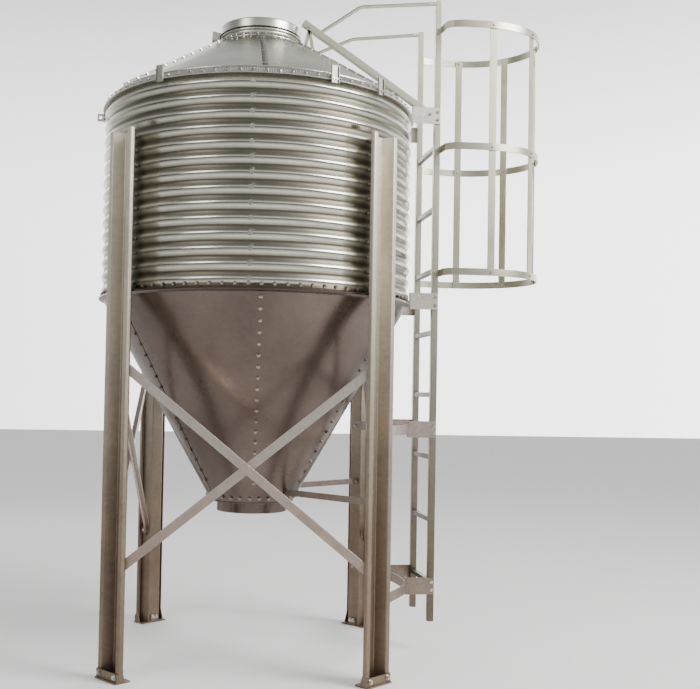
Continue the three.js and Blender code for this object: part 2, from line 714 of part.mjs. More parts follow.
// The footprint is centred on the origin.
const box = new THREE.Box3().setFromObject(silo, true);
silo.position.set(-(box.min.x + box.max.x) / 2, -(box.min.y + box.max.y) / 2, 0);
silo.updateMatrixWorld(true);

export default silo;
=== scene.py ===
import math

import bmesh
import bpy
from mathutils import Matrix, Vector


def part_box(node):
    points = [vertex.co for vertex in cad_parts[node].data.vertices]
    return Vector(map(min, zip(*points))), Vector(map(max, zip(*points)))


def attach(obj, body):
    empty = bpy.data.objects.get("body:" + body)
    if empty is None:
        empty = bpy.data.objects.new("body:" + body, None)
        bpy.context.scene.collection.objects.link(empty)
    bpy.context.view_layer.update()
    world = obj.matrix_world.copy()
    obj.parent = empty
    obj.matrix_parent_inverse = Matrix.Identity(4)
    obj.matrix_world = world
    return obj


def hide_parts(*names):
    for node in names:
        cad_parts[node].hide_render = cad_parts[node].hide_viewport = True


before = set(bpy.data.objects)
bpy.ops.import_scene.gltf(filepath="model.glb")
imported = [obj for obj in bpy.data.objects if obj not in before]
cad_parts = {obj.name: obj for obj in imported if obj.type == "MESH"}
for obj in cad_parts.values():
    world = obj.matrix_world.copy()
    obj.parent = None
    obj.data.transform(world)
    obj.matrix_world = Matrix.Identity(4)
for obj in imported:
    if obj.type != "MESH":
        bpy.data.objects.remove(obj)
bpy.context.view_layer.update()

scene = bpy.context.scene
MM = 0.001


# The yard. The bin stands on a plain pale floor under plain soft studio light: two high panels in
# front, the stronger one on the right, a weak one behind, and a pale surround that is darker low down
# and overhead on the camera's side. The camera stands a little left of the front, at chest height.
drum_low, drum_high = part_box("bin_body")
BIN_X = (drum_low.x + drum_high.x) / 2
BIN_Y = (drum_low.y + drum_high.y) / 2
CAMERA_SPOT = Vector((BIN_X - 471.45 * MM, -5036.9 * MM, 1280.47 * MM))
CAMERA_YAW = 0.1367
CAMERA_PITCH = 0.0265
CAMERA_ROLL = 0.0186
CAMERA_LENS = 50.94
CAMERA_SHIFT = (0.0756, 0.0376)
FLOOR_HALF = 30.0
# The camera's half of the surround and the far half: tone low down, tone above it, share left overhead.
SKY_HALVES = ((0.30, 1.05, 0.2), (3.2, 0.85, 0.8))
SKY_RISE = (0.15, 0.5)
SKY_FALL = (0.7, 0.88)
SKY_TURN = (-0.1, 0.75)
SKY_STRENGTH = (0.42, 1.58)
# Each panel's place, the point it faces, its size and its power.
PANELS = (
    ("left_panel", (-4.4, -3.8, 5.2), (-0.35, 0, 1.9), (2.0, 3.2), 90),
    ("right_panel", (4.6, -3.4, 5.4), (-0.35, 0, 1.9), (3.2, 3.4), 620),
    ("back_panel", (-1.5, 5.0, 4.6), (-0.3, 0, 1.8), (4.0, 3.0), 60),
)


def placed(name, data):
    """A new object in the scene."""
    thing = bpy.data.objects.new(name, data)
    scene.collection.objects.link(thing)
    return thing


def added(tree, kind, given=None, **settings):
    """A node with its settings. Each input is given a plain value, or another node's socket."""
    node = tree.nodes.new(kind)
    for label, value in settings.items():
        setattr(node, label, value)
    for place, value in (given or {}).items():
        if isinstance(value, bpy.types.NodeSocket):
            tree.links.new(value, node.inputs[place])
        else:
            node.inputs[place].default_value = value
    return node


def calc(operation, *values):
    """A math node on sockets and numbers, in the sockets' own tree, and its result."""
    tree = next(value.id_data for value in values if isinstance(value, bpy.types.NodeSocket))
    return added(tree, "ShaderNodeMath", dict(enumerate(values)), operation=operation).outputs[0]


def times(first, second):
    """One value times another."""
    return calc("MULTIPLY", first, second)


def minus(first, second):
    """One value less another."""
    return calc("SUBTRACT", first, second)


def ranged(value, reach, result, interpolation="LINEAR"):
    """A value carried from its reach to the result's two ends, and held there."""
    return added(value.id_data, "ShaderNodeMapRange", {
        "Value": value, "From Min": reach[0], "From Max": reach[1],
        "To Min": result[0], "To Max": result[1],
    }, interpolation_type=interpolation).outputs["Result"]


def axes(vector):
    """The X, Y and Z of a vector."""
    return added(vector.id_data, "ShaderNodeSeparateXYZ", {0: vector}).outputs


camera_data = bpy.data.cameras.new("photo_camera")
camera_data.sensor_width = 36.0
camera_data.lens = CAMERA_LENS
camera_data.shift_x, camera_data.shift_y = CAMERA_SHIFT
camera = placed("photo_camera", camera_data)
ahead = Vector((
    math.sin(CAMERA_YAW) * math.cos(CAMERA_PITCH),
    math.cos(CAMERA_YAW) * math.cos(CAMERA_PITCH),
    math.sin(CAMERA_PITCH),
))
level_right = Vector((math.cos(CAMERA_YAW), -math.sin(CAMERA_YAW), 0.0))
level_up = level_right.cross(ahead)
right = math.cos(CAMERA_ROLL) * level_right + math.sin(CAMERA_ROLL) * level_up
up = math.cos(CAMERA_ROLL) * level_up - math.sin(CAMERA_ROLL) * level_right
camera.matrix_world = Matrix.Translation(CAMERA_SPOT) @ Matrix((right, up, -ahead)).transposed().to_4x4()
scene.camera = camera

floor_mesh = bpy.data.meshes.new("studio_floor")
floor_mesh.from_pydata(
    [(-FLOOR_HALF, -FLOOR_HALF, 0), (FLOOR_HALF, -FLOOR_HALF, 0),
     (FLOOR_HALF, FLOOR_HALF, 0), (-FLOOR_HALF, FLOOR_HALF, 0)], [], [(0, 1, 2, 3)])
floor = placed("studio_floor", floor_mesh)
floor_paint = bpy.data.materials.new("pale_floor")
floor_paint.use_nodes = True
floor_shader = floor_paint.node_tree.nodes["Principled BSDF"]
floor_shader.inputs["Base Color"].default_value = (0.9, 0.9, 0.89, 1)
floor_shader.inputs["Roughness"].default_value = 0.8
floor_mesh.materials.append(floor_paint)

surround = bpy.data.worlds.new("pale_surround")
surround.use_nodes = True
scene.world = surround
sky = surround.node_tree
heading = axes(sky.nodes.new("ShaderNodeTexCoord").outputs["Generated"])
sky_halves = []
for low_tone, band_tone, top_share in SKY_HALVES:
    rise = ranged(heading["Z"], SKY_RISE, (low_tone, band_tone), "SMOOTHSTEP")
    fall = ranged(heading["Z"], SKY_FALL, (1.0, top_share), "SMOOTHSTEP")
    sky_halves.append(times(rise, fall))
sky_side = ranged(heading["Y"], SKY_TURN, (0.0, 1.0), "SMOOTHSTEP")
sky_blend = added(sky, "ShaderNodeMix", {0: sky_side, 2: sky_halves[0], 3: sky_halves[1]})
sky_light = sky.nodes["Background"]
sky.links.new(sky_blend.outputs[0], sky_light.inputs["Color"])
sky.links.new(ranged(heading["X"], (-1.0, 1.0), SKY_STRENGTH), sky_light.inputs["Strength"])

for name, spot, aim, size, power in PANELS:
    panel = bpy.data.lights.new(name, "AREA")
    panel.shape = "RECTANGLE"
    panel.size, panel.size_y = size
    panel.energy = power
    lamp = placed(name, panel)
    lamp.location = spot
    lamp.rotation_euler = (Vector(aim) - Vector(spot)).to_track_quat("-Z", "Y").to_euler()


# The drum: a ring of corrugated sheets, rolled round with their waves level. Each sheet laps over
# the next one along an upright seam. The waves are true sheet, about a millimetre and a half thick.
# The steel is hot-dip zinc coated, which freezes in crystals and dulls in soft blotches.
BIN_BOTTOM = drum_low.z
BIN_TOP = drum_high.z
WAVE_CREST = 778.0 * MM
WAVE_VALLEY = 765.5 * MM
WAVE_COUNT = 14
WAVE_PITCH = (BIN_TOP - BIN_BOTTOM) / WAVE_COUNT
WAVE_STEPS = 14
DRUM_LAP = -9.7
SHEETS_ROUND = 3
SHEET_T = 1.5 * MM
LAP_OVER = 3.4
POST_TURN = 37.4
POST_TOP = 2475 * MM
# How far round from each post the drum is darkened as the posts' painted shade and reflection, and over
# how much it fades.
POST_SHADE_TURN = math.radians(13.4)
POST_SHADE_FADE = math.radians(2.2)
SHADE_REACH = (0.28, 0.72)
DULL_REACH = (0.3, 0.7)
RELIEF = 2 * MM
WELD = 0.02 * MM


def sockets(tree, side, kind, labels):
    """Named sockets of one kind on a node group, each with its starting value where it has one."""
    for label, start in labels.items():
        socket = tree.interface.new_socket(name=label, in_out=side, socket_type="NodeSocket" + kind)
        if start is not None:
            socket.default_value = start


zinc_coat = bpy.data.node_groups.new("Zinc crystals", "ShaderNodeTree")
sockets(zinc_coat, "INPUT", "Vector", {"Place": None})
sockets(zinc_coat, "INPUT", "Float", {
    "Crystals per metre": 90.0, "Crystal contrast": 0.3, "Blotches per metre": 6.0,
    "Low height": 0.2, "High height": 2.0})
sockets(zinc_coat, "OUTPUT", "Float", {"Shade": None, "Dullness": None, "Lowness": None})
coat_in = zinc_coat.nodes.new("NodeGroupInput").outputs
crystals = added(zinc_coat, "ShaderNodeTexVoronoi", {
    "Vector": coat_in["Place"], "Scale": coat_in["Crystals per metre"]})
crystal_tone = added(zinc_coat, "ShaderNodeSeparateColor", {
    "Color": crystals.outputs["Color"]}).outputs["Red"]
blotches = added(zinc_coat, "ShaderNodeTexNoise", {
    "Vector": coat_in["Place"], "Scale": coat_in["Blotches per metre"], "Detail": 4.0, "Roughness": 0.62,
}).outputs["Fac"]
shade = calc("ADD", times(minus(crystal_tone, 0.5), coat_in["Crystal contrast"]), blotches)
shade.node.use_clamp = True
added(zinc_coat, "NodeGroupOutput", {
    "Shade": shade, "Dullness": blotches,
    "Lowness": ranged(axes(coat_in["Place"])["Z"], (coat_in["Low height"], coat_in["High height"]),
                      (1.0, 0.0), "SMOOTHSTEP")})


def zinc_finish(name, dark, light, gloss, dull, crystal_rate, contrast, blotch_rate, bump, low=None,
                heights=(0.2, 2.0)):
    """A zinc-coated steel: two colours, two roughness values, the size of its crystals, and a tone
    that darkens it towards the bottom as a painted reflection of the ground."""
    finish = bpy.data.materials.new(name)
    finish.use_nodes = True
    tree = finish.node_tree
    shader = tree.nodes["Principled BSDF"]
    shader.inputs["Metallic"].default_value = 1.0
    coat = added(tree, "ShaderNodeGroup", {
        "Place": tree.nodes.new("ShaderNodeTexCoord").outputs["Object"],
        "Crystals per metre": crystal_rate, "Crystal contrast": contrast,
        "Blotches per metre": blotch_rate, "Low height": heights[0], "High height": heights[1],
    }, node_tree=zinc_coat).outputs
    colours = added(tree, "ShaderNodeValToRGB", {"Fac": coat["Shade"]})
    for element, position, colour in zip(colours.color_ramp.elements, SHADE_REACH, (dark, light)):
        element.position = position
        element.color = (*colour, 1)
    relief = added(tree, "ShaderNodeBump", {
        "Strength": bump, "Distance": RELIEF, "Height": coat["Shade"]})
    for label, source in (
        ("Roughness", ranged(coat["Dullness"], DULL_REACH, (dull, gloss))),
        ("Normal", relief.outputs["Normal"]), ("Base Color", colours.outputs["Color"]),
    ):
        tree.links.new(source, shader.inputs[label])
    # Painted reflection of the ground: the colour is multiplied by the low tone towards the bottom.
    if low:
        toned(finish, coat["Lowness"], low)
    return finish


def toned(finish, mask, tone, dull=None):
    """Multiplies a finish's colour by a tone where the mask is 1, and may make it duller there."""
    tree = finish.node_tree
    shader = tree.nodes["Principled BSDF"].inputs
    if dull:
        wear = added(tree, "ShaderNodeMix", {
            0: mask, 2: shader["Roughness"].links[0].from_socket, 3: dull})
        tree.links.new(wear.outputs[0], shader["Roughness"])
    blend = added(tree, "ShaderNodeMix", {
        0: mask, 6: shader["Base Color"].links[0].from_socket, 7: (*tone, 1),
    }, data_type="RGBA", blend_type="MULTIPLY")
    tree.links.new(blend.outputs[2], shader["Base Color"])


def spot_on(finish):
    """The X, Y and Z of each spot on a piece with this finish."""
    return axes(finish.node_tree.nodes.new("ShaderNodeTexCoord").outputs["Object"])


def wave_band(finish, share, narrow):
    """A mask that is 1 at one height in every wave, given as a share of the wave from its valley."""
    above = minus(spot_on(finish)["Z"], BIN_BOTTOM + share * WAVE_PITCH)
    swing = calc("COSINE", times(above, 2 * math.pi / WAVE_PITCH))
    return calc("POWER", calc("MAXIMUM", swing, 0.0), narrow)


def falling(value, end, fade):
    """1 where a value is small, that falls to 0 over the last stretch before the end."""
    return ranged(value, (end - fade, end), (1.0, 0.0))


def beside_posts(finish):
    """A mask that is 1 on the drum behind and beside each of the four posts, where it is darkened as the
    posts' painted shade and reflection.
    """
    spot = spot_on(finish)
    azimuth = calc("ARCTAN2", minus(spot["X"], BIN_X), minus(BIN_Y, spot["Y"]))
    turn = calc("FLOORED_MODULO", minus(azimuth, math.radians(POST_TURN)), math.pi / 2)
    apart = minus(math.pi / 4, calc("ABSOLUTE", minus(turn, math.pi / 4)))
    return calc("MINIMUM", falling(apart, POST_SHADE_TURN, POST_SHADE_FADE),
                falling(spot["Z"], POST_TOP + 20 * MM, 40 * MM))


def chained(geometry, *nodes):
    """Runs the geometry through nodes in a row, by their first geometry sockets."""
    for node in nodes:
        geometry.id_data.links.new(geometry, node.inputs[0])
        geometry = node.outputs[0]
    return geometry


def together(tree, *geometries):
    """Joins geometry inside a tree."""
    join = tree.nodes.new("GeometryNodeJoinGeometry")
    for geometry in geometries:
        tree.links.new(geometry, join.inputs[0])
    return join.outputs[0]


def started(name, sizes, counts):
    """A geometry tree with its named inputs, and the sockets that bring them in."""
    tree = bpy.data.node_groups.new(name, "GeometryNodeTree")
    for side, kind, labels in (
        ("INPUT", "Geometry", {"Geometry": None}), ("INPUT", "Float", sizes), ("INPUT", "Int", counts),
        ("INPUT", "Material", {"Finish": None}), ("OUTPUT", "Geometry", {"Geometry": None}),
    ):
        sockets(tree, side, kind, labels)
    return tree, tree.nodes.new("NodeGroupInput").outputs


def ended(tree, given, geometry):
    """Ends a geometry tree: everything is made real and gets the finish."""
    cover = added(tree, "GeometryNodeSetMaterial", {"Material": given["Finish"]})
    made = chained(geometry, tree.nodes.new("GeometryNodeRealizeInstances"), cover)
    added(tree, "NodeGroupOutput", {0: made})
    return tree


def stepped(start, change, share):
    """A size that starts at one value and changes by another over a share from 0 to 1."""
    return calc("ADD", start, times(change, share))


def rolled_sheet_tree(name, sizes, radius_of):
    """A tree that bends a grid to a sheet about the bin's axis and lifts it towards its outer lap.
    radius_of gives the radius from the named sizes, the angle, and the share of the height."""
    tree, given = started(name, {
        "From": 0.0, "Sweep": 2 * math.pi, "Lap lift": 0.0, **sizes,
        "Thickness": SHEET_T, "Axis X": BIN_X, "Axis Y": BIN_Y,
    }, {"Steps round": 96, "Steps along": 16})
    grid = added(tree, "GeometryNodeMeshGrid", {
        "Size X": 1.0, "Size Y": 1.0,
        "Vertices X": given["Steps round"], "Vertices Y": given["Steps along"]})
    here = axes(tree.nodes.new("GeometryNodeInputPosition").outputs[0])
    across, along = calc("ADD", here["X"], 0.5), calc("ADD", here["Y"], 0.5)
    angle = stepped(given["From"], given["Sweep"], across)
    radius = stepped(radius_of(given, angle, along), given["Lap lift"], across)
    bent = added(tree, "ShaderNodeCombineXYZ", {
        "X": calc("ADD", given["Axis X"], times(radius, calc("SINE", angle))),
        "Y": minus(given["Axis Y"], times(radius, calc("COSINE", angle))),
        "Z": stepped(given["Bottom"], given["Rise"], along)})
    bend = added(tree, "GeometryNodeSetPosition", {"Position": bent.outputs[0]})
    skin = chained(grid.outputs["Mesh"], bend)
    inner = added(tree, "GeometryNodeExtrudeMesh", {
        "Individual": False, "Offset Scale": times(given["Thickness"], -1.0)})
    back = chained(skin, inner, tree.nodes.new("GeometryNodeFlipFaces"))
    weld = added(tree, "GeometryNodeMergeByDistance", {"Distance": WELD})
    return ended(tree, given, chained(together(tree, skin, back), weld))


def grown(name, tree, values, seed_mesh=None):
    """The plain mesh that a geometry tree makes with these named values."""
    thing = placed(name, seed_mesh or bpy.data.meshes.new(name))
    growth = thing.modifiers.new("growth", "NODES")
    growth.node_group = tree
    ids = {item.name: item.identifier for item in tree.interface.items_tree if item.in_out == "INPUT"}
    for label, value in values.items():
        growth[ids[label]] = value
    thing.update_tag()
    result = bpy.data.meshes.new_from_object(thing.evaluated_get(bpy.context.evaluated_depsgraph_get()))
    thing.modifiers.remove(growth)
    bpy.data.objects.remove(thing)
    result.name = name
    return result


def fitted(name, mesh, finish, body="structure", instead_of=(), crease=35.0):
    """Puts a finished mesh on the bin: its finish, its body, and the nodes it stands for."""
    mesh.materials.clear()
    mesh.materials.append(finish)
    mesh.shade_smooth()
    mesh.set_sharp_from_angle(angle=math.radians(crease))
    thing = placed(name, mesh)
    even = thing.modifiers.new("even_shading", "WEIGHTED_NORMAL")
    even.keep_sharp = True
    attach(thing, body)
    if instead_of:
        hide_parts(*instead_of)


def mesh_of(name, shape, turn_out=True):
    """The mesh of a finished shape, with its faces turned outwards."""
    if turn_out:
        bmesh.ops.recalc_face_normals(shape, faces=shape.faces)
    mesh = bpy.data.meshes.new(name)
    shape.to_mesh(mesh)
    shape.free()
    return mesh


def joined(name, meshes):
    """One mesh from several whose faces already point outwards."""
    whole = bmesh.new()
    for mesh in meshes:
        whole.from_mesh(mesh)
        bpy.data.meshes.remove(mesh)
    return mesh_of(name, whole, turn_out=False)


def corrugated(size, angle, along):
    """Level waves, a little wider in the valleys than at the crests."""
    turns = times(along, times(size["Waves"], 2 * math.pi))
    swell = calc("POWER", minus(0.5, times(0.5, calc("COSINE", turns))), size["Wave fullness"])
    return stepped(size["Valley radius"], size["Wave depth"], swell)


wave_tree = rolled_sheet_tree("Corrugated drum sheet", {
    "Bottom": BIN_BOTTOM, "Rise": BIN_TOP - BIN_BOTTOM, "Lap lift": SHEET_T * 1.15,
    "Valley radius": WAVE_VALLEY - SHEET_T * 1.2, "Wave depth": WAVE_CREST - WAVE_VALLEY,
    "Waves": float(WAVE_COUNT), "Wave fullness": 1.2,
}, corrugated)
drum_sheet = zinc_finish("bright_drum_sheet", (0.48, 0.475, 0.405), (0.69, 0.685, 0.59),
                         0.18, 0.26, 60.0, 0.06, 2.6, 0.01)
# Painted shade low in each wave, where dust also makes the sheet duller, a softer painted shade on the
# shoulder above it, a fine painted dark reflection line below the crest, and the posts' painted shade
# and reflection beside them.
toned(drum_sheet, wave_band(drum_sheet, -0.12, 0.8), (0.27, 0.255, 0.225), 0.4)
toned(drum_sheet, wave_band(drum_sheet, 0.08, 1.2), (0.45, 0.43, 0.39))
toned(drum_sheet, wave_band(drum_sheet, 0.44, 4.5), (0.46, 0.46, 0.44))
toned(drum_sheet, beside_posts(drum_sheet), (0.7, 0.69, 0.66), 0.44)
SHEET_TURN = 360 / SHEETS_ROUND
fitted("drum_wall", joined("drum_wall", [
    grown(f"drum_sheet_{i}", wave_tree, {
        "From": math.radians(DRUM_LAP - SHEET_TURN * (i + 1)),
        "Sweep": math.radians(SHEET_TURN + LAP_OVER),
        "Steps round": 49, "Steps along": WAVE_COUNT * WAVE_STEPS + 1, "Finish": drum_sheet,
    }) for i in range(SHEETS_ROUND)
]), drum_sheet, instead_of=["bin_body"])


# Bolts. Every seam is held by hexagon bolts with a round washer, and all of them are made by one
# tree: it sets a bolt on each point of a mesh, with the head along the point's own direction.
SEAM_BOLT_TURN = DRUM_LAP + 2.2


def hexagon(head, high, washer, thick, thread=4.0, stub=1.5):
    """A bolt's sizes from millimetres: radius and height of head, washer and end of the thread."""
    labels = [f"{part} {size}" for part in ("Head", "Washer", "Thread") for size in ("radius", "height")]
    return {label: size * MM for label, size in zip(labels, (head, high, washer, thick, thread, stub))}


M6 = hexagon(5.4, 4.2, 6.6, 1.2, 3.0, 1.6)
M8 = hexagon(7.2, 5.0, 9.0, 1.8)
M10 = hexagon(9.4, 7.0, 12.0, 2.2, 5.0)
STUD = hexagon(7.2, 5.5, 9.0, 1.8, stub=3.5)
bolt_tree, bolt_in = started("Bolts on points", M8, {"Turn seed": 3})


def round_piece(part, sides, base):
    """A low prism that stands on base: a head, a washer or a thread's end."""
    height = bolt_in[part + " height"]
    prism = added(bolt_tree, "GeometryNodeMeshCylinder", {
        "Vertices": sides, "Radius": bolt_in[part + " radius"], "Depth": height})
    raised = added(bolt_tree, "ShaderNodeCombineXYZ", {"Z": calc("ADD", base, times(height, 0.5))})
    return chained(prism.outputs["Mesh"], added(bolt_tree, "GeometryNodeTransform", {
        "Translation": raised.outputs[0]}))


head_top = calc("ADD", bolt_in["Washer height"], bolt_in["Head height"])
one_bolt = together(
    bolt_tree, round_piece("Washer", 12, 0.0), round_piece("Head", 6, bolt_in["Washer height"]),
    round_piece("Thread", 8, head_top))
outward = added(bolt_tree, "GeometryNodeInputNamedAttribute", {"Name": "outward"},
                data_type="FLOAT_VECTOR")
aimed = added(bolt_tree, "FunctionNodeAlignRotationToVector", {"Vector": outward.outputs[0]}, axis="Z")
any_turn = added(bolt_tree, "FunctionNodeRandomValue", {
    2: 0.0, 3: math.pi / 3, "Seed": bolt_in["Turn seed"]}, data_type="FLOAT")
spin = added(bolt_tree, "FunctionNodeAxisAngleToRotation", {
    "Axis": (0, 0, 1), "Angle": any_turn.outputs[1]})
turned = added(bolt_tree, "FunctionNodeRotateRotation", {
    0: aimed.outputs[0], 1: spin.outputs[0]}, rotation_space="LOCAL")
ended(bolt_tree, bolt_in, added(bolt_tree, "GeometryNodeInstanceOnPoints", {
    "Points": bolt_in["Geometry"], "Instance": one_bolt, "Rotation": turned.outputs[0]}).outputs[0])

bolt_zinc = zinc_finish("bolt_zinc", (0.40, 0.38, 0.34), (0.72, 0.70, 0.65),
                        0.25, 0.4, 160.0, 0.3, 40.0, 0.03)
# Painted shade and reflection: a darker, redder copy of the bolt zinc for the bolts on the hopper.
shaded_bolt_zinc = zinc_finish("shaded_bolt_zinc", (0.24, 0.20, 0.17), (0.40, 0.345, 0.305),
                             0.3, 0.42, 160.0, 0.3, 40.0, 0.03)


def bolts(name, spots, size, finish=bolt_zinc):
    """Bolts on a list of (point, outward direction)."""
    seeds = bpy.data.meshes.new(name + "_points")
    seeds.from_pydata([tuple(point) for point, _ in spots], [], [])
    directions = seeds.attributes.new("outward", "FLOAT_VECTOR", "POINT")
    for i, (_, direction) in enumerate(spots):
        directions.data[i].vector = direction
    fitted(name, grown(name, bolt_tree, {**size, "Finish": finish}, seeds), finish)


def at(azimuth, radius, height):
    """A point by its azimuth in degrees, counted from the front towards the ladder."""
    turn = math.radians(azimuth)
    return Vector((BIN_X + radius * math.sin(turn), BIN_Y - radius * math.cos(turn), height))


def facing(azimuth, rise=0.0):
    """A direction away from the bin's axis, tilted up by rise degrees."""
    turn = math.radians(azimuth)
    tilt = math.radians(rise)
    return Vector((math.sin(turn) * math.cos(tilt), -math.cos(turn) * math.cos(tilt), math.sin(tilt)))


def bolt_ring(count, start, radius, height, rise):
    """Even places for bolts round a level ring."""
    turns = [360 / count * i + start for i in range(count)]
    return [(at(turn, radius, height), facing(turn, rise)) for turn in turns]


bolts("drum_seam_bolts", [
    (at(azimuth, WAVE_CREST, BIN_BOTTOM + WAVE_PITCH * (wave + 0.5)), facing(azimuth))
    for azimuth in (SEAM_BOLT_TURN + SHEET_TURN * i for i in range(SHEETS_ROUND))
    for wave in range(WAVE_COUNT)
], M10)


# The eave band: a crimped steel ring that leans in from the drum's top edge to the roof sheets.
# Its upright crimps let the flat strip close in, and a bead runs along its upper edge.
eave_low, eave_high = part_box("eave_ring")
EAVE_RISE = eave_high.z - eave_low.z
EAVE_FOOT_R = 781.0 * MM
EAVE_HEAD_R = 749.0 * MM
EAVE_LEAN = math.degrees(math.atan2(EAVE_FOOT_R - EAVE_HEAD_R, EAVE_RISE))
CRIMPS = 470
CRIMP_DEPTH = 3.6 * MM
EAVE_BOLTS = 84
EAVE_BOLT_FROM = -3.1
EAVE_BOLT_R = 770.5 * MM
EAVE_BEAD_R = 3.2 * MM
EAVE_BEAD = (EAVE_HEAD_R + 1 * MM, eave_high.z + 1.2 * MM)
EAVE_FOOT = ((764, 0.3), (785.6, 0.3), (786, 2.2), (784, 3.0), (764, 2.2))


def crimped(size, angle, along):
    """Upright crimps on a leaning strip, deepest at half its height."""
    wave = calc("ABSOLUTE", calc("SINE", times(angle, times(size["Crimps"], 0.5))))
    fade = calc("POWER", times(4.0, times(along, minus(1.0, along))), 0.5)
    radius = stepped(size["Foot radius"], minus(size["Head radius"], size["Foot radius"]), along)
    return stepped(radius, size["Crimp depth"], times(wave, fade))


crimp_tree = rolled_sheet_tree("Crimped eave band", {
    "Foot radius": EAVE_FOOT_R, "Head radius": EAVE_HEAD_R, "Bottom": eave_low.z + 1 * MM,
    "Rise": EAVE_RISE, "Crimps": float(CRIMPS), "Crimp depth": CRIMP_DEPTH,
}, crimped)
eave_sheet = zinc_finish("eave_sheet", (0.64, 0.63, 0.57), (0.88, 0.87, 0.80),
                         0.27, 0.38, 60.0, 0.1, 4.0, 0.01)


def spun(name, profile, steps=96):
    """A closed profile of (radius, height) points turned about the bin's axis."""
    shape = bmesh.new()
    rings = [[shape.verts.new(at(360 * i / steps, r, z)) for r, z in profile] for i in range(steps)]
    for ring, following in zip(rings, rings[1:] + rings[:1]):
        for j in range(len(profile)):
            k = (j + 1) % len(profile)
            shape.faces.new((ring[j], following[j], following[k], ring[k]))
    bmesh.ops.remove_doubles(shape, verts=shape.verts, dist=0.01 * MM)
    return mesh_of(name, shape)


def arc(radius, angles, centre=(0.0, 0.0)):
    """Points round a centre at these angles, in degrees."""
    turns = [math.radians(angle) for angle in angles]
    return [(centre[0] + radius * math.cos(turn), centre[1] + radius * math.sin(turn)) for turn in turns]


def above(base, points):
    """Points of a profile in millimetres, with their heights counted from a base."""
    return [(r * MM, base + z * MM) for r, z in points]


fitted("eave_band", joined("eave_band", [
    grown("eave_band", crimp_tree, {
        "Steps round": CRIMPS * 5 + 1, "Steps along": 7, "Finish": eave_sheet}),
    spun("eave_foot", above(BIN_TOP, EAVE_FOOT)),
    spun("eave_bead", arc(EAVE_BEAD_R, range(0, 360, 36), EAVE_BEAD), 128),
]), eave_sheet, instead_of=["eave_ring"], crease=50.0)
bolts("eave_bolts", bolt_ring(EAVE_BOLTS, EAVE_BOLT_FROM, EAVE_BOLT_R, eave_low.z + 20 * MM, EAVE_LEAN),
      hexagon(7.2, 4.2, 9.0, 1.8))


# The roof: six flat sheets rolled to a low cone. Neighbours meet in a standing seam that is bolted
# through from the side, and the lower hem is folded over the eave band.
ROOF_SLOPE = 0.62
ROOF_FOOT = (748 * MM, 2733.2 * MM)
ROOF_EDGE_R = 754 * MM
ROOF_NECK_R = 200.5 * MM
ROOF_T = 2.0 * MM
ROOF_RISE = 90 - math.degrees(math.atan(ROOF_SLOPE))
ROOF_SEAM = -3.5
ROOF_SHEETS = 6
SEAM_RIB = [(-13, -0.5), (-12.4, 1.8), (-4.6, 2.2), (-3.6, 12.4), (-2.4, 13.6), (2.4, 13.6), (3.6, 12.4),
            (4.6, 2.2), (12.4, 1.8), (13, -0.5)]
SEAM_ENDS = (749 * MM, 216 * MM)
RIB_BOLTS = 11
RIB_BOLT_LOW = 728 * MM
RIB_BOLT_PITCH = 48 * MM
RIB_BOLT_RISE = 7 * MM
RIB_HALF = 4 * MM
roof_sheet = zinc_finish("roof_sheet", (0.32, 0.325, 0.275), (0.44, 0.445, 0.38),
                         0.2, 0.32, 60.0, 0.06, 2.5, 0.01)
# Painted shade: the seam ribs, folded from the roof's own sheet, get a darker and duller copy of its
# finish.
seam_sheet = zinc_finish("seam_sheet", (0.20, 0.20, 0.165), (0.31, 0.31, 0.255),
                         0.42, 0.55, 60.0, 0.08, 6.0, 0.015)


def roof_z(radius):
    """The height of the roof's skin at a radius."""
    return ROOF_FOOT[1] + (ROOF_FOOT[0] - radius) * ROOF_SLOPE


def carried(name, outline, places):
    """A closed outline of (across, outward) points carried through a row of places."""
    shape = bmesh.new()
    rings = [[shape.verts.new(centre + across * x + outward * y) for x, y in outline]
             for centre, across, outward in places]
    count = len(outline)
    for ring, following in zip(rings, rings[1:]):
        for j in range(count):
            k = (j + 1) % count
            shape.faces.new((ring[j], ring[k], following[k], following[j]))
    shape.faces.new(list(reversed(rings[0])))
    shape.faces.new(rings[-1])
    return mesh_of(name, shape)


def in_mm(points):
    """An outline in millimetres, made metres."""
    return [(x * MM, y * MM) for x, y in points]


fitted("roof_sheets", spun("roof_skin", [(r, roof_z(r) - drop) for r, drop in (
    (ROOF_NECK_R, 0.0), (ROOF_EDGE_R - 3 * MM, 0.0), (ROOF_EDGE_R, 1.0 * MM), (ROOF_EDGE_R, 3.4 * MM),
    (ROOF_EDGE_R - 4 * MM, ROOF_T), (ROOF_NECK_R, ROOF_T),
)], 144), roof_sheet, instead_of=["roof_cone"])
roof_seams = []
roof_bolts = []
for i in range(ROOF_SHEETS):
    azimuth = ROOF_SEAM + 60 * i
    tangent, normal = facing(azimuth + 90), facing(azimuth, ROOF_RISE)
    roof_seams.append(carried(f"roof_seam_{i}", in_mm(SEAM_RIB), [
        (at(azimuth, r, roof_z(r)), tangent, normal) for r in SEAM_ENDS]))
    for step in range(RIB_BOLTS):
        radius = RIB_BOLT_LOW - step * RIB_BOLT_PITCH
        middle = at(azimuth, radius, roof_z(radius)) + normal * RIB_BOLT_RISE
        roof_bolts += [(middle + hand * RIB_HALF, hand) for hand in (-tangent, tangent)]
fitted("roof_seams", joined("roof_seams", roof_seams), seam_sheet)
bolts("roof_bolts", roof_bolts, M6)


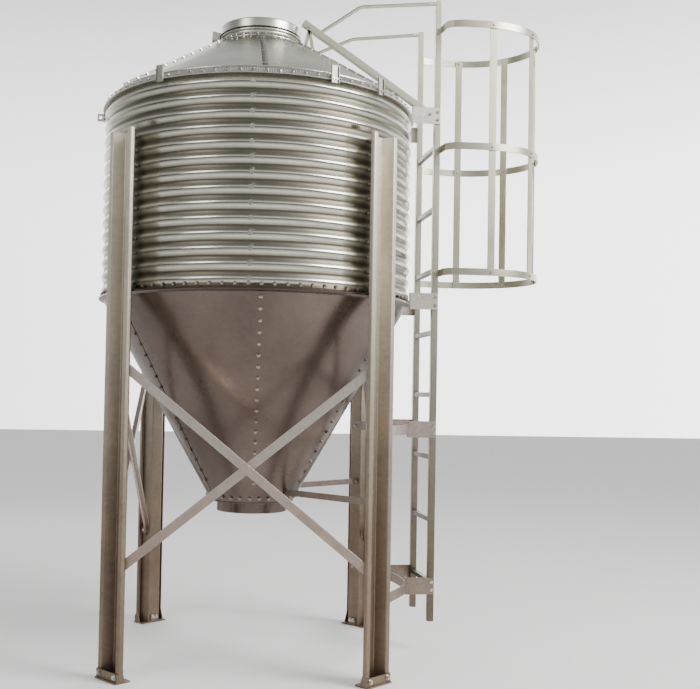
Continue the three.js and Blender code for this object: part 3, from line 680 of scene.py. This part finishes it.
# The eave clips: short upright channels of pressed sheet, bolted through the eave band to the drum's
# top wave. Three stand on the front and, as far as can be told, as many on the rear.
CLIP_AZIMUTHS = (-39.6, 19.6, 39.3, 140.4, 199.6, 219.3)
CLIP_SECTION = [(-19, 0), (-19, 9), (-16.6, 9), (-16.6, 2.4), (16.6, 2.4), (16.6, 9), (19, 9), (19, 0)]
CLIP_SEAT_R = 788.5 * MM
CLIP_HEIGHTS = (2676 * MM, 2752 * MM)
CLIP_BOLT_Z = 2694 * MM
CLIP_BOLT_HALF = 7.5 * MM
clip_sheet = zinc_finish("clip_sheet", (0.34, 0.34, 0.30), (0.48, 0.48, 0.43),
                         0.36, 0.5, 60.0, 0.1, 8.0, 0.02)
clip_meshes = []
clip_bolts = []
for azimuth in CLIP_AZIMUTHS:
    tangent, out = facing(azimuth + 90), facing(azimuth)
    clip_meshes.append(carried("clip", in_mm(CLIP_SECTION), [
        (at(azimuth, CLIP_SEAT_R, z), tangent, out) for z in CLIP_HEIGHTS]))
    for hand in (-CLIP_BOLT_HALF, CLIP_BOLT_HALF):
        clip_bolts.append((at(azimuth, CLIP_SEAT_R + 2.4 * MM, CLIP_BOLT_Z) + tangent * hand, out))
fitted("eave_clips", joined("eave_clips", clip_meshes), clip_sheet)
bolts("clip_bolts", clip_bolts, M6)


# The filler neck: a short steel collar on the roof's top opening. Its foot is held by a close ring of
# bolts through a turned-out flange, and its upper rim is rolled outwards.
neck_low, neck_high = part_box("filler_neck")
NECK_R = 200 * MM
NECK_BOLTS = 36
NECK_BOLT_R = 210.5 * MM
NECK_RIM = ((200, -9), (208, -8), (211.5, -5.5), (211.5, -2), (209, 0), (197, 0))
FLANGE_OUT = NECK_R + 16 * MM
neck_zinc = zinc_finish("neck_zinc", (0.50, 0.48, 0.43), (0.70, 0.68, 0.62),
                        0.26, 0.4, 80.0, 0.15, 8.0, 0.02)
foot_z = roof_z(NECK_R)
fitted("neck_collar", joined("neck_collar", [
    spun("neck_wall", above(neck_low.z, ((197, 0), (200, 0))) + above(neck_high.z, NECK_RIM)),
    spun("neck_flange", [
        (NECK_R + 0.4 * MM, foot_z + 1 * MM), (FLANGE_OUT, roof_z(FLANGE_OUT) + 0.6 * MM),
        (FLANGE_OUT, roof_z(FLANGE_OUT) + 3.2 * MM), (NECK_R + 5 * MM, foot_z + 4 * MM),
        (NECK_R + 2.6 * MM, foot_z + 14 * MM), (NECK_R + 0.4 * MM, foot_z + 14 * MM)]),
]), neck_zinc, instead_of=["filler_neck"])
bolts("neck_bolts", bolt_ring(NECK_BOLTS, 0, NECK_BOLT_R, roof_z(NECK_BOLT_R) + 3 * MM, ROOF_RISE), STUD)


# The lid: a pressed steel cap with an upright skirt, wired edges and a slightly domed crown. It turns
# on a pin at the side away from the ladder. Its lower edge is painted dark as the shadow under the skirt
# where it sits on the neck.
lid_low, lid_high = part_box("lid")
LID_EDGE = 3156 * MM
LID_PROFILE = [
    *above(lid_high.z, ((0.5, 0), (60, -2.5), (120, -8), (180, -19))),
    *above(LID_EDGE, ((200, 1.5), (206, 0.4), (208, -2.4), (206.4, -5))),
    *above(lid_low.z, ((206.4, 5), (208, 3.6), (208, 1.2), (206.4, 0), (204.2, 0))),
    *above(LID_EDGE, ((204.2, -6), (200, -3))),
    *above(lid_high.z, ((180, -23), (120, -12), (60, -6.5), (0.5, -4))),
]
HINGE_PIN = (BIN_X - 238 * MM, 3122 * MM)
EYE_R = 8.8 * MM
EYE_HOLE_R = 5.6 * MM
ARM_END_X = BIN_X - 206.5 * MM
ARM_HALF = 20 * MM
EASE_ANGLE = math.radians(25)
FLAT_ANGLE = math.radians(0.6)


def dressed(name, node, finish, width=0.8 * MM, segments=2):
    """Puts a copy of a plain piece in its place, with its flat faces made whole and its edges eased."""
    shape = bmesh.new()
    shape.from_mesh(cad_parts[node].data)
    bmesh.ops.remove_doubles(shape, verts=shape.verts, dist=WELD)
    bmesh.ops.dissolve_limit(shape, angle_limit=FLAT_ANGLE, verts=shape.verts, edges=shape.edges)
    sharp = [e for e in shape.edges if len(e.link_faces) == 2 and e.calc_face_angle(0) > EASE_ANGLE]
    bmesh.ops.bevel(shape, geom=sharp, offset=width, segments=segments, profile=0.5, affect="EDGES",
                    clamp_overlap=True)
    fitted(name, mesh_of(name, shape), finish, instead_of=[node])


lid_sheet = zinc_finish("lid_sheet", (0.50, 0.49, 0.43), (0.70, 0.69, 0.61),
                        0.22, 0.32, 50.0, 0.06, 3.0, 0.01)
# Painted shadow: the lowest 6 mm of the skirt is made near black and duller.
toned(lid_sheet, falling(spot_on(lid_sheet)["Z"], lid_low.z + 6 * MM, 1.5 * MM), (0.1, 0.1, 0.09), 0.6)
plate_zinc = zinc_finish("plate_zinc", (0.50, 0.46, 0.42), (0.68, 0.64, 0.59),
                         0.42, 0.55, 100.0, 0.3, 10.0, 0.03,
                         low=(0.42, 0.36, 0.32), heights=(0.4, 2.4))
hinge_arm = bmesh.new()
arm_outline = arc(EYE_R, [90 + 7.5 * i for i in range(25)], HINGE_PIN) + [
    (ARM_END_X, HINGE_PIN[1] - EYE_R), (ARM_END_X, HINGE_PIN[1] + EYE_R)]
arm_sides = []
for side in (-ARM_HALF, ARM_HALF):
    rings = [[hinge_arm.verts.new((x, BIN_Y + side, z)) for x, z in outline]
             for outline in (arm_outline, arc(EYE_HOLE_R, range(0, 360, 15), HINGE_PIN))]
    bmesh.ops.triangle_fill(hinge_arm, use_beauty=True, edges=[
        hinge_arm.edges.new(pair) for ring in rings for pair in zip(ring, ring[1:] + ring[:1])])
    arm_sides.append(rings)
for near_ring, far_ring in zip(*arm_sides):
    for j in range(len(near_ring)):
        k = (j + 1) % len(near_ring)
        hinge_arm.faces.new((near_ring[j], near_ring[k], far_ring[k], far_ring[j]))
fitted("lid_cap", joined("lid_cap", [
    spun("lid_shell", LID_PROFILE, 112), mesh_of("lid_arm", hinge_arm),
]), lid_sheet, body="lid", instead_of=["lid"])
dressed("hinge_bracket", "lid_hinge_bracket", plate_zinc)


# The hopper: six flat sheets rolled to a steep cone, lapped and bolted down every seam. Its top edge
# is turned out under the drum and bolted to a rim all the way round.
hopper_low, hopper_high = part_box("hopper_cone")
HOPPER_SHEETS = 6
HOPPER_LAP = -3.6
HOPPER_SHEET_BACK = 61.4
HOPPER_SHEET_TURN = 62.6
HOPPER_BOLTS = 18
HOPPER_BOLT_TOP = 1716 * MM
HOPPER_BOLT_PITCH = 50.2 * MM
HOPPER_BAND_BOLTS = 30
HOPPER_BAND_Z = 783 * MM
RIM_BOLTS = 84
RIM_BOLT_R = 771 * MM
HOPPER_LOW_R = 213 * MM
HOPPER_TOP_R = 764 * MM
HOPPER_LOW_Z = hopper_low.z
HOPPER_RIM_Z = 1738 * MM
HOPPER_T = 2.0 * MM
HOPPER_SET_IN = HOPPER_T * 1.25
CONE_LEAN = math.degrees(math.atan2(HOPPER_TOP_R - HOPPER_LOW_R, HOPPER_RIM_Z - HOPPER_LOW_Z))
# Painted reflection: the hopper's sheet is the drum's zinc, coloured dark and reddish for the dark red
# ground that it reflects.
hopper_zinc = zinc_finish("hopper_sheet", (0.105, 0.080, 0.067), (0.165, 0.127, 0.108),
                          0.24, 0.34, 60.0, 0.06, 2.0, 0.01)


def coned(size, angle, along):
    """A straight cone."""
    return stepped(size["Low radius"], minus(size["Top radius"], size["Low radius"]), along)


def hopper_r(height):
    """The radius of the hopper's skin at a height."""
    share = (height - HOPPER_LOW_Z) / (HOPPER_RIM_Z - HOPPER_LOW_Z)
    return HOPPER_LOW_R + share * (HOPPER_TOP_R - HOPPER_LOW_R)


cone_tree = rolled_sheet_tree("Hopper sheet", {
    "Sweep": math.radians(HOPPER_SHEET_TURN), "Lap lift": HOPPER_T * 1.2,
    "Bottom": HOPPER_LOW_Z, "Rise": HOPPER_RIM_Z - HOPPER_LOW_Z,
    "Low radius": HOPPER_LOW_R - HOPPER_SET_IN, "Top radius": HOPPER_TOP_R - HOPPER_SET_IN,
}, coned)
hopper_parts = []
hopper_bolts = []
for i in range(HOPPER_SHEETS):
    seam = HOPPER_LAP + 60 * i
    hopper_parts.append(grown(f"hopper_sheet_{i}", cone_tree, {
        "From": math.radians(seam - HOPPER_SHEET_BACK), "Thickness": HOPPER_T,
        "Steps round": 33, "Steps along": 9, "Finish": hopper_zinc,
    }))
    for step in range(HOPPER_BOLTS):
        z = HOPPER_BOLT_TOP - step * HOPPER_BOLT_PITCH
        hopper_bolts.append((at(seam, hopper_r(z), z), facing(seam, -CONE_LEAN)))
hopper_parts.append(spun("hopper_rim", [
    *above(HOPPER_RIM_Z, ((761, 0), (764.5, -1), (785, 6.6), (787, 9))),
    *above(hopper_high.z, ((787, -2), (785.6, -0.4), (761, 0))),
], 144))
fitted("hopper_sheets", joined("hopper_sheets", hopper_parts), hopper_zinc,
       instead_of=["hopper_cone"])
hopper_bolts += bolt_ring(HOPPER_BAND_BOLTS, 4, hopper_r(HOPPER_BAND_Z), HOPPER_BAND_Z, -CONE_LEAN)
bolts("hopper_bolts", hopper_bolts, M8, shaded_bolt_zinc)
bolts("rim_bolts", bolt_ring(RIM_BOLTS, 0.8, RIM_BOLT_R, BIN_BOTTOM + 14 * MM, -25), M8, shaded_bolt_zinc)


# The outlet collar: a short pipe in the hopper's own finish, painted dark as the hopper is, with a
# flange that takes the cone's lower edge and is held by the hopper's lowest ring of bolts.
collar_low, collar_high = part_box("outlet_collar")
fitted("outlet_pipe", spun("outlet_pipe", [
    *above(collar_low.z, ((172.5, 1), (173.5, 0), (175, 0), (176, 1))),
    *above(collar_high.z, ((176, -8), (178, -6), (210.5, -6), (212, -4.6))),
    *above(collar_high.z, ((212, -1.4), (210.5, 0), (172.5, 0))),
]), hopper_zinc, instead_of=["outlet_collar"])


# The posts: four hat channels folded from zinc-coated sheet, open outwards. The crown stands off the
# drum on round spacers, the walls flare out to two brims, and each brim ends in a lip turned back.
# Their feet are plates with upstands, bolted to the brims and the crown and to the ground.
POST_CORNERS = {
    "front_right": POST_TURN, "rear_right": POST_TURN + 90,
    "rear_left": POST_TURN + 180, "front_left": POST_TURN - 90,
}
POST_CROWN_R = 797.0
POST_CROWN_HALF = 34
POST_BRIM_R = 852.0
POST_BRIM_HALF = 55
POST_SHEET = 4.0
POST_BOTTOM = 8.3
POST_BENDS = [(POST_CROWN_HALF, POST_CROWN_R, 4), (POST_BRIM_HALF, POST_BRIM_R, 8),
              (81.5, POST_BRIM_R, 6.5), (81.5, 833, 0)]
SPACERS = 11
SPACER_SIDE = 30
POST_BACK_R = 786.7
BRIM_BOLT = (858.3, 59, 28)
CROWN_BOLT = (787.7, 10, 32)
GROUND_BOLT = (826, 21, 8)
UP = Vector((0, 0, 1))
post_zinc = zinc_finish("post_zinc", (0.50, 0.46, 0.37), (0.69, 0.64, 0.525),
                        0.4, 0.54, 70.0, 0.14, 3.5, 0.012,
                        low=(0.38, 0.31, 0.28), heights=(0.3, 2.3))


def folded(path, thickness, steps=5):
    """A closed outline of folded sheet along (x, y, bend radius) points, its thickness to the right."""
    face, back = [], []

    def place(x, y, turn):
        """One point on the face and the one behind it."""
        face.append((x, y))
        back.append((x + thickness * math.sin(turn), y - thickness * math.cos(turn)))

    turns = [math.atan2(b[1] - a[1], b[0] - a[0]) for a, b in zip(path, path[1:])]
    place(*path[0][:2], turns[0])
    for (x, y, radius), before, after in zip(path[1:-1], turns, turns[1:]):
        bend = after - before
        sign = 1 if bend > 0 else -1
        run = radius * math.tan(abs(bend) / 2)
        x, y = x - run * math.cos(before), y - run * math.sin(before)
        centre = (x - sign * radius * math.sin(before), y + sign * radius * math.cos(before))
        for k in range(steps + 1):
            turn = before + bend * k / steps
            place(centre[0] + sign * radius * math.sin(turn),
                  centre[1] - sign * radius * math.cos(turn), turn)
    place(*path[-1][:2], turns[-1])
    return in_mm(face + back[::-1])


def by_post(corner, outward, sideways, height):
    """A point by a post, in millimetres from the bin's axis, the post's middle and the floor."""
    azimuth = POST_CORNERS[corner]
    return at(azimuth, outward * MM, height * MM) + facing(azimuth + 90) * sideways * MM


post_outline = folded([(-x, r, bend) for x, r, bend in POST_BENDS[::-1]] + POST_BENDS, POST_SHEET)
spacers = []
foot_bolts = []
for corner, azimuth in POST_CORNERS.items():
    out, side = facing(azimuth), facing(azimuth + 90)
    fitted(f"channel_{corner}", carried(f"channel_{corner}", post_outline, [
        (by_post(corner, 0, 0, z), side, out) for z in (POST_BOTTOM, POST_TOP / MM)
    ]), post_zinc, instead_of=[f"post_{corner}"])
    dressed(f"base_{corner}", f"foot_{corner}", post_zinc, 1.0 * MM)
    for hand in (-1, 1):
        for wave in range(SPACERS):
            z = (BIN_BOTTOM + WAVE_PITCH * (wave + 0.5)) / MM
            spacers.append((by_post(corner, WAVE_CREST / MM + 0.2, hand * SPACER_SIDE, z), out))
        for (r, sideways, z), way in ((BRIM_BOLT, out), (CROWN_BOLT, -out), (GROUND_BOLT, UP)):
            foot_bolts.append((by_post(corner, r, hand * sideways, z), way))
bolts("post_spacers", spacers, hexagon(6.0, 2.0, 9.0, 14.4))
bolts("foot_bolts", foot_bolts, M10)


# Braces and stays: rolled angles cross between the posts, each end bolted to a post's wall, and flat
# bars run from the hopper's foot to the two posts on the ladder's side.
brace_zinc = zinc_finish("brace_zinc", (0.50, 0.45, 0.40), (0.68, 0.62, 0.55),
                         0.34, 0.48, 90.0, 0.16, 6.0, 0.015,
                         low=(0.62, 0.54, 0.50), heights=(0.4, 1.5))
WALL_RUN = math.atan2(POST_BRIM_HALF - POST_CROWN_HALF, POST_BRIM_R - POST_CROWN_R)
WALL_FOOT = 36.8
BRACE_HEIGHTS = (1388, 520)
BRACE_ENDS = {"front_left": (-1, 1), "front_right": (-1, 1), "rear_left": (1,), "rear_right": (-1,)}
BRACE_REACH = 41 * MM
TAB_FACE = 5.3 * MM
STAY_BOLT_SIDE = 11
STAY_Z = 812
brace_bolts = []
for corner, hands in BRACE_ENDS.items():
    out, side = facing(POST_CORNERS[corner]), facing(POST_CORNERS[corner] + 90)
    for hand in hands:
        along = side * hand * math.sin(WALL_RUN) + out * math.cos(WALL_RUN)
        normal = side * hand * math.cos(WALL_RUN) - out * math.sin(WALL_RUN)
        for z in BRACE_HEIGHTS:
            root = by_post(corner, POST_CROWN_R - POST_SHEET, hand * WALL_FOOT, z)
            brace_bolts.append((root + along * BRACE_REACH + normal * TAB_FACE, normal))
for bay in ("front", "left", "right"):
    for lean in ("falling", "rising"):
        dressed(f"angle_{bay}_{lean}", f"brace_{bay}_{lean}", brace_zinc, 0.9 * MM)
bolts("brace_bolts", brace_bolts, M8)
stay_bolts = []
for corner in ("front_right", "rear_right"):
    dressed(f"stay_{corner}", f"outlet_stay_{corner}", plate_zinc)
    for hand in (-1, 1):
        spot = by_post(corner, POST_BACK_R, hand * STAY_BOLT_SIDE, STAY_Z)
        stay_bolts.append((spot, -facing(POST_CORNERS[corner])))
bolts("stay_bolts", stay_bolts, hexagon(6.4, 5.0, 7.6, 1.8))


# The lifting lug: a zinc-coated plate with an eye, welded to the drum away from the ladder, to lift
# the bin by.
dressed("lug_plate", "lifting_lug", plate_zinc, 1.0 * MM)


# The ladder: two square tubes and eight square rungs. Folded plates hold it off the bin, and lower down
# off two curved straps between the posts. Plates and straps are bolted at both ends.
ladder_zinc = zinc_finish("ladder_zinc", (0.46, 0.445, 0.36), (0.63, 0.61, 0.50),
                          0.3, 0.42, 90.0, 0.12, 5.0, 0.012,
                          low=(0.28, 0.24, 0.21), heights=(0.3, 2.4))
# Painted shade: the rungs are the ladder's zinc, made much darker for the shade on their faces.
shaded_rung_zinc = zinc_finish("shaded_rung_zinc", (0.19, 0.185, 0.155), (0.30, 0.29, 0.245),
                        0.32, 0.45, 90.0, 0.15, 8.0, 0.015,
                        low=(0.55, 0.49, 0.45), heights=(0.3, 2.2))
LADDER_X = BIN_X + 914 * MM
STRINGER_Y = {"near": BIN_Y - 95 * MM, "far": BIN_Y + 255 * MM}
SIDEWAYS = {"near": Vector((0, -1, 0)), "far": Vector((0, 1, 0))}
STRINGER_HALF = 16 * MM
# Each pair of plates: its height, and how far its seat stands off the bin's axis, in millimetres.
PLATE_LEVELS = {
    "eave": (2741, 786.3), "flange": (1783, 787.3), "middle": (1128, 787.3), "low": (333, 787.3)}
PLATE_T = 6 * MM
FLANGE_IN = 14 * MM
PLATE_BOLT_HALF = 20
THIRD_BOLT = (LADDER_X - 42 * MM, 2748 * MM)
ladder_bolts = []
for side, y in STRINGER_Y.items():
    dressed(f"stringer_{side}", f"ladder_stringer_{side}", ladder_zinc, 2.4 * MM, 3)
    sideways = SIDEWAYS[side]
    plate_face = y + sideways.y * (STRINGER_HALF + 0.3 * MM + PLATE_T)
    for level, (z, seat) in PLATE_LEVELS.items():
        dressed(f"plate_{level}_{side}", f"ladder_plate_{level}_{side}", plate_zinc,
                1.0 * MM)
        flange_y = plate_face - sideways.y * FLANGE_IN - BIN_Y
        azimuth = 90 + math.degrees(math.asin(flange_y / (seat * MM)))
        for step in (-PLATE_BOLT_HALF, PLATE_BOLT_HALF):
            ladder_bolts.append((Vector((LADDER_X, plate_face, (z + step) * MM)), sideways))
            ladder_bolts.append((at(azimuth, seat * MM + PLATE_T, (z + step) * MM), facing(azimuth)))
    ladder_bolts.append((Vector((THIRD_BOLT[0], plate_face, THIRD_BOLT[1])), sideways))
strap_bolts = []
for level in ("middle", "low"):
    dressed(f"strap_{level}", f"ladder_strap_{level}", plate_zinc)
    for corner in ("front_right", "rear_right"):
        spot = by_post(corner, POST_BACK_R, 0, PLATE_LEVELS[level][0])
        strap_bolts.append((spot, -facing(POST_CORNERS[corner])))
bolts("ladder_bolts", ladder_bolts, hexagon(6.6, 5.0, 8.4, 1.8))
bolts("strap_bolts", strap_bolts, M8)
RUNG_FACE = 12.3
RUNG_EASE = 10.3
rung_outline = in_mm([
    (-RUNG_EASE, -RUNG_FACE), (RUNG_EASE, -RUNG_FACE), (RUNG_FACE, -RUNG_EASE), (RUNG_FACE, RUNG_EASE),
    (RUNG_EASE, RUNG_FACE), (-RUNG_EASE, RUNG_FACE), (-RUNG_FACE, RUNG_EASE), (-RUNG_FACE, -RUNG_EASE)])
for i in range(1, 9):
    low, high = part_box(f"ladder_rung_{i}")
    fitted(f"rung_{i}", carried(f"rung_{i}", rung_outline, [
        (Vector(((low.x + high.x) / 2, y, (low.z + high.z) / 2)), Vector((1, 0, 0)), UP)
        for y in (low.y, high.y)]), shaded_rung_zinc, instead_of=[f"ladder_rung_{i}"])


# The roof rails: a square tube climbs the roof from each stringer and stands on a pair of flat legs.
# A round tube, bent once and flattened at its outer end, runs over it as a hand rail.
RAIL_SLOPE = 0.6456
RAIL_HALF = (15.0, 17.0)
RAIL_CORNER = 2.2
RAIL_TOP = (207.0, 3182.5)
RAIL_ENDS = (207.4, 841.6)
RAIL_BOLT_X = 826
LEG_TOP_X = 238.0
LEG_FEET_X = (217.0, 262.0)
LEG_SECTION = [(-3, -8.5), (3, -8.5), (3, 8.5), (-3, 8.5)]
LEG_FOOT_SECTION = [(-14, 0), (14, 0), (14, 3), (-14, 3)]
LEG_FOOT_HALF = 9
HAND_R = 9.3
HAND_FOOT_X = 292.0
HAND_BEND = {"near": (503.0, 3286.0), "far": (530.0, 3246.0)}
HAND_END = {"near": (895.2, 3330.0), "far": (895.2, 3294.0)}
HAND_FLAT = 34
HAND_SQUEEZE = 0.55
BEND_STEPS = 8
LEVEL = Vector((0, 1, 0))


def rail_z(x):
    """The height of the rail's middle line above a distance from the bin's axis."""
    return RAIL_TOP[1] - (x - RAIL_TOP[0]) * RAIL_SLOPE


def beside_axis(x, y, z):
    """A point beside the bin's axis, in millimetres."""
    return Vector((BIN_X + x * MM, BIN_Y + y * MM, z * MM))


def on_roof(x, y, above=0.0):
    """A point on the roof's skin or above it, in millimetres."""
    return beside_axis(x, y, roof_z(math.hypot(x, y) * MM) / MM + above)


rail_outline = []
for turn in range(4):
    middle = math.radians(45 + 90 * turn)
    rail_outline += arc(RAIL_CORNER, range(90 * turn, 90 * turn + 91, 30), (
        math.copysign(RAIL_HALF[0] - RAIL_CORNER, math.cos(middle)),
        math.copysign(RAIL_HALF[1] - RAIL_CORNER, math.sin(middle))))
climb = Vector((1, 0, -RAIL_SLOPE)).normalized()
rail_bolts = []
for side, y in (("near", -95.0), ("far", 255.0)):
    parts = [carried("rail", in_mm(rail_outline), [
        (beside_axis(x, y, rail_z(x)), LEVEL, climb.cross(LEVEL)) for x in RAIL_ENDS])]
    for foot_x in LEG_FEET_X:
        top = beside_axis(LEG_TOP_X, y, rail_z(LEG_TOP_X) - 12)
        foot = on_roof(foot_x, y, 1.0)
        outward = (top - foot).normalized().cross(LEVEL)
        parts.append(carried("leg", in_mm(LEG_SECTION), [(foot, LEVEL, outward), (top, LEVEL, outward)]))
        parts.append(carried("leg_foot", in_mm(LEG_FOOT_SECTION), [
            (on_roof(x, y), LEVEL, UP) for x in (foot_x - LEG_FOOT_HALF, foot_x + LEG_FOOT_HALF)]))
    start, bend, end = (HAND_FOOT_X, rail_z(HAND_FOOT_X) + 6), HAND_BEND[side], HAND_END[side]
    near_bend = [b + (s - b) * 0.09 for s, b in zip(start, bend)]
    past_bend = [b + (e - b) * 0.06 for e, b in zip(end, bend)]
    path = [start]
    for k in range(1, BEND_STEPS):
        share = k / BEND_STEPS
        path.append(tuple((1 - share) ** 2 * n + 2 * share * (1 - share) * b + share ** 2 * p
                          for n, b, p in zip(near_bend, bend, past_bend)))
    path += [(end[0] - HAND_FLAT, end[1] - HAND_FLAT * (end[1] - bend[1]) / (end[0] - bend[0])), end]
    places = []
    for i, (x, z) in enumerate(path):
        before, after = path[max(i - 1, 0)], path[min(i + 1, len(path) - 1)]
        run = (beside_axis(after[0], y, after[1]) - beside_axis(before[0], y, before[1])).normalized()
        squeeze = HAND_SQUEEZE if i == len(path) - 1 else 1.0
        places.append((beside_axis(x, y, z), LEVEL * squeeze, run.cross(LEVEL)))
    parts.append(carried("hand", arc(HAND_R * MM, range(0, 360, 18)), places))
    fitted(f"rail_{side}", joined(f"rail_{side}", parts), ladder_zinc,
           instead_of=[f"roof_rail_{side}"])
    rail_side = y + SIDEWAYS[side].y * RAIL_HALF[0]
    rail_bolts.append((beside_axis(LEG_TOP_X, rail_side, rail_z(LEG_TOP_X) - 4), SIDEWAYS[side]))
    rail_bolts.append((beside_axis(RAIL_BOLT_X, rail_side, rail_z(RAIL_BOLT_X)), SIDEWAYS[side]))
bolts("rail_bolts", rail_bolts, hexagon(6.4, 5.0, 8.0, 1.8))


# The cage: three flat-bar hoops bolted to the stringers, and five flat straps bolted inside them, that
# keep a climber on the ladder.
cage_zinc = zinc_finish("cage_zinc", (0.44, 0.42, 0.325), (0.60, 0.575, 0.455),
                        0.3, 0.42, 90.0, 0.1, 5.0, 0.01)
HOOP_LEVELS = {"top": 3192, "middle": 2567, "bottom": 1929}
HOOP_MIDDLE = (1152.0, 80.0)
HOOP_HALF = (359.0, 308.0)
HOOP_FACE = 5.3 * MM
STRAP_ANGLES = (-87, -43.5, 0, 43.5, 87)
STRAP_INSIDE = 10.8 * MM
cage_bolts = []
for level, z in HOOP_LEVELS.items():
    dressed(f"hoop_{level}", f"cage_hoop_{level}", cage_zinc)
    for side, y in STRINGER_Y.items():
        face = y + SIDEWAYS[side].y * (STRINGER_HALF + HOOP_FACE)
        cage_bolts.append((Vector((LADDER_X, face, z * MM)), SIDEWAYS[side]))
    for degrees in STRAP_ANGLES:
        turn = math.radians(degrees)
        normal = Vector((math.cos(turn) / HOOP_HALF[0], math.sin(turn) / HOOP_HALF[1], 0)).normalized()
        seat = beside_axis(HOOP_MIDDLE[0] + HOOP_HALF[0] * math.cos(turn),
                           HOOP_MIDDLE[1] + HOOP_HALF[1] * math.sin(turn), z)
        cage_bolts.append((seat - normal * STRAP_INSIDE, -normal))
        if degrees:
            cage_bolts.append((seat, normal))
for i in range(1, len(STRAP_ANGLES) + 1):
    dressed(f"cage_bar_{i}", f"cage_strap_{i}", cage_zinc)
bolts("cage_bolts", cage_bolts, hexagon(6.0, 3.6, 7.4, 1.2, stub=0.8))
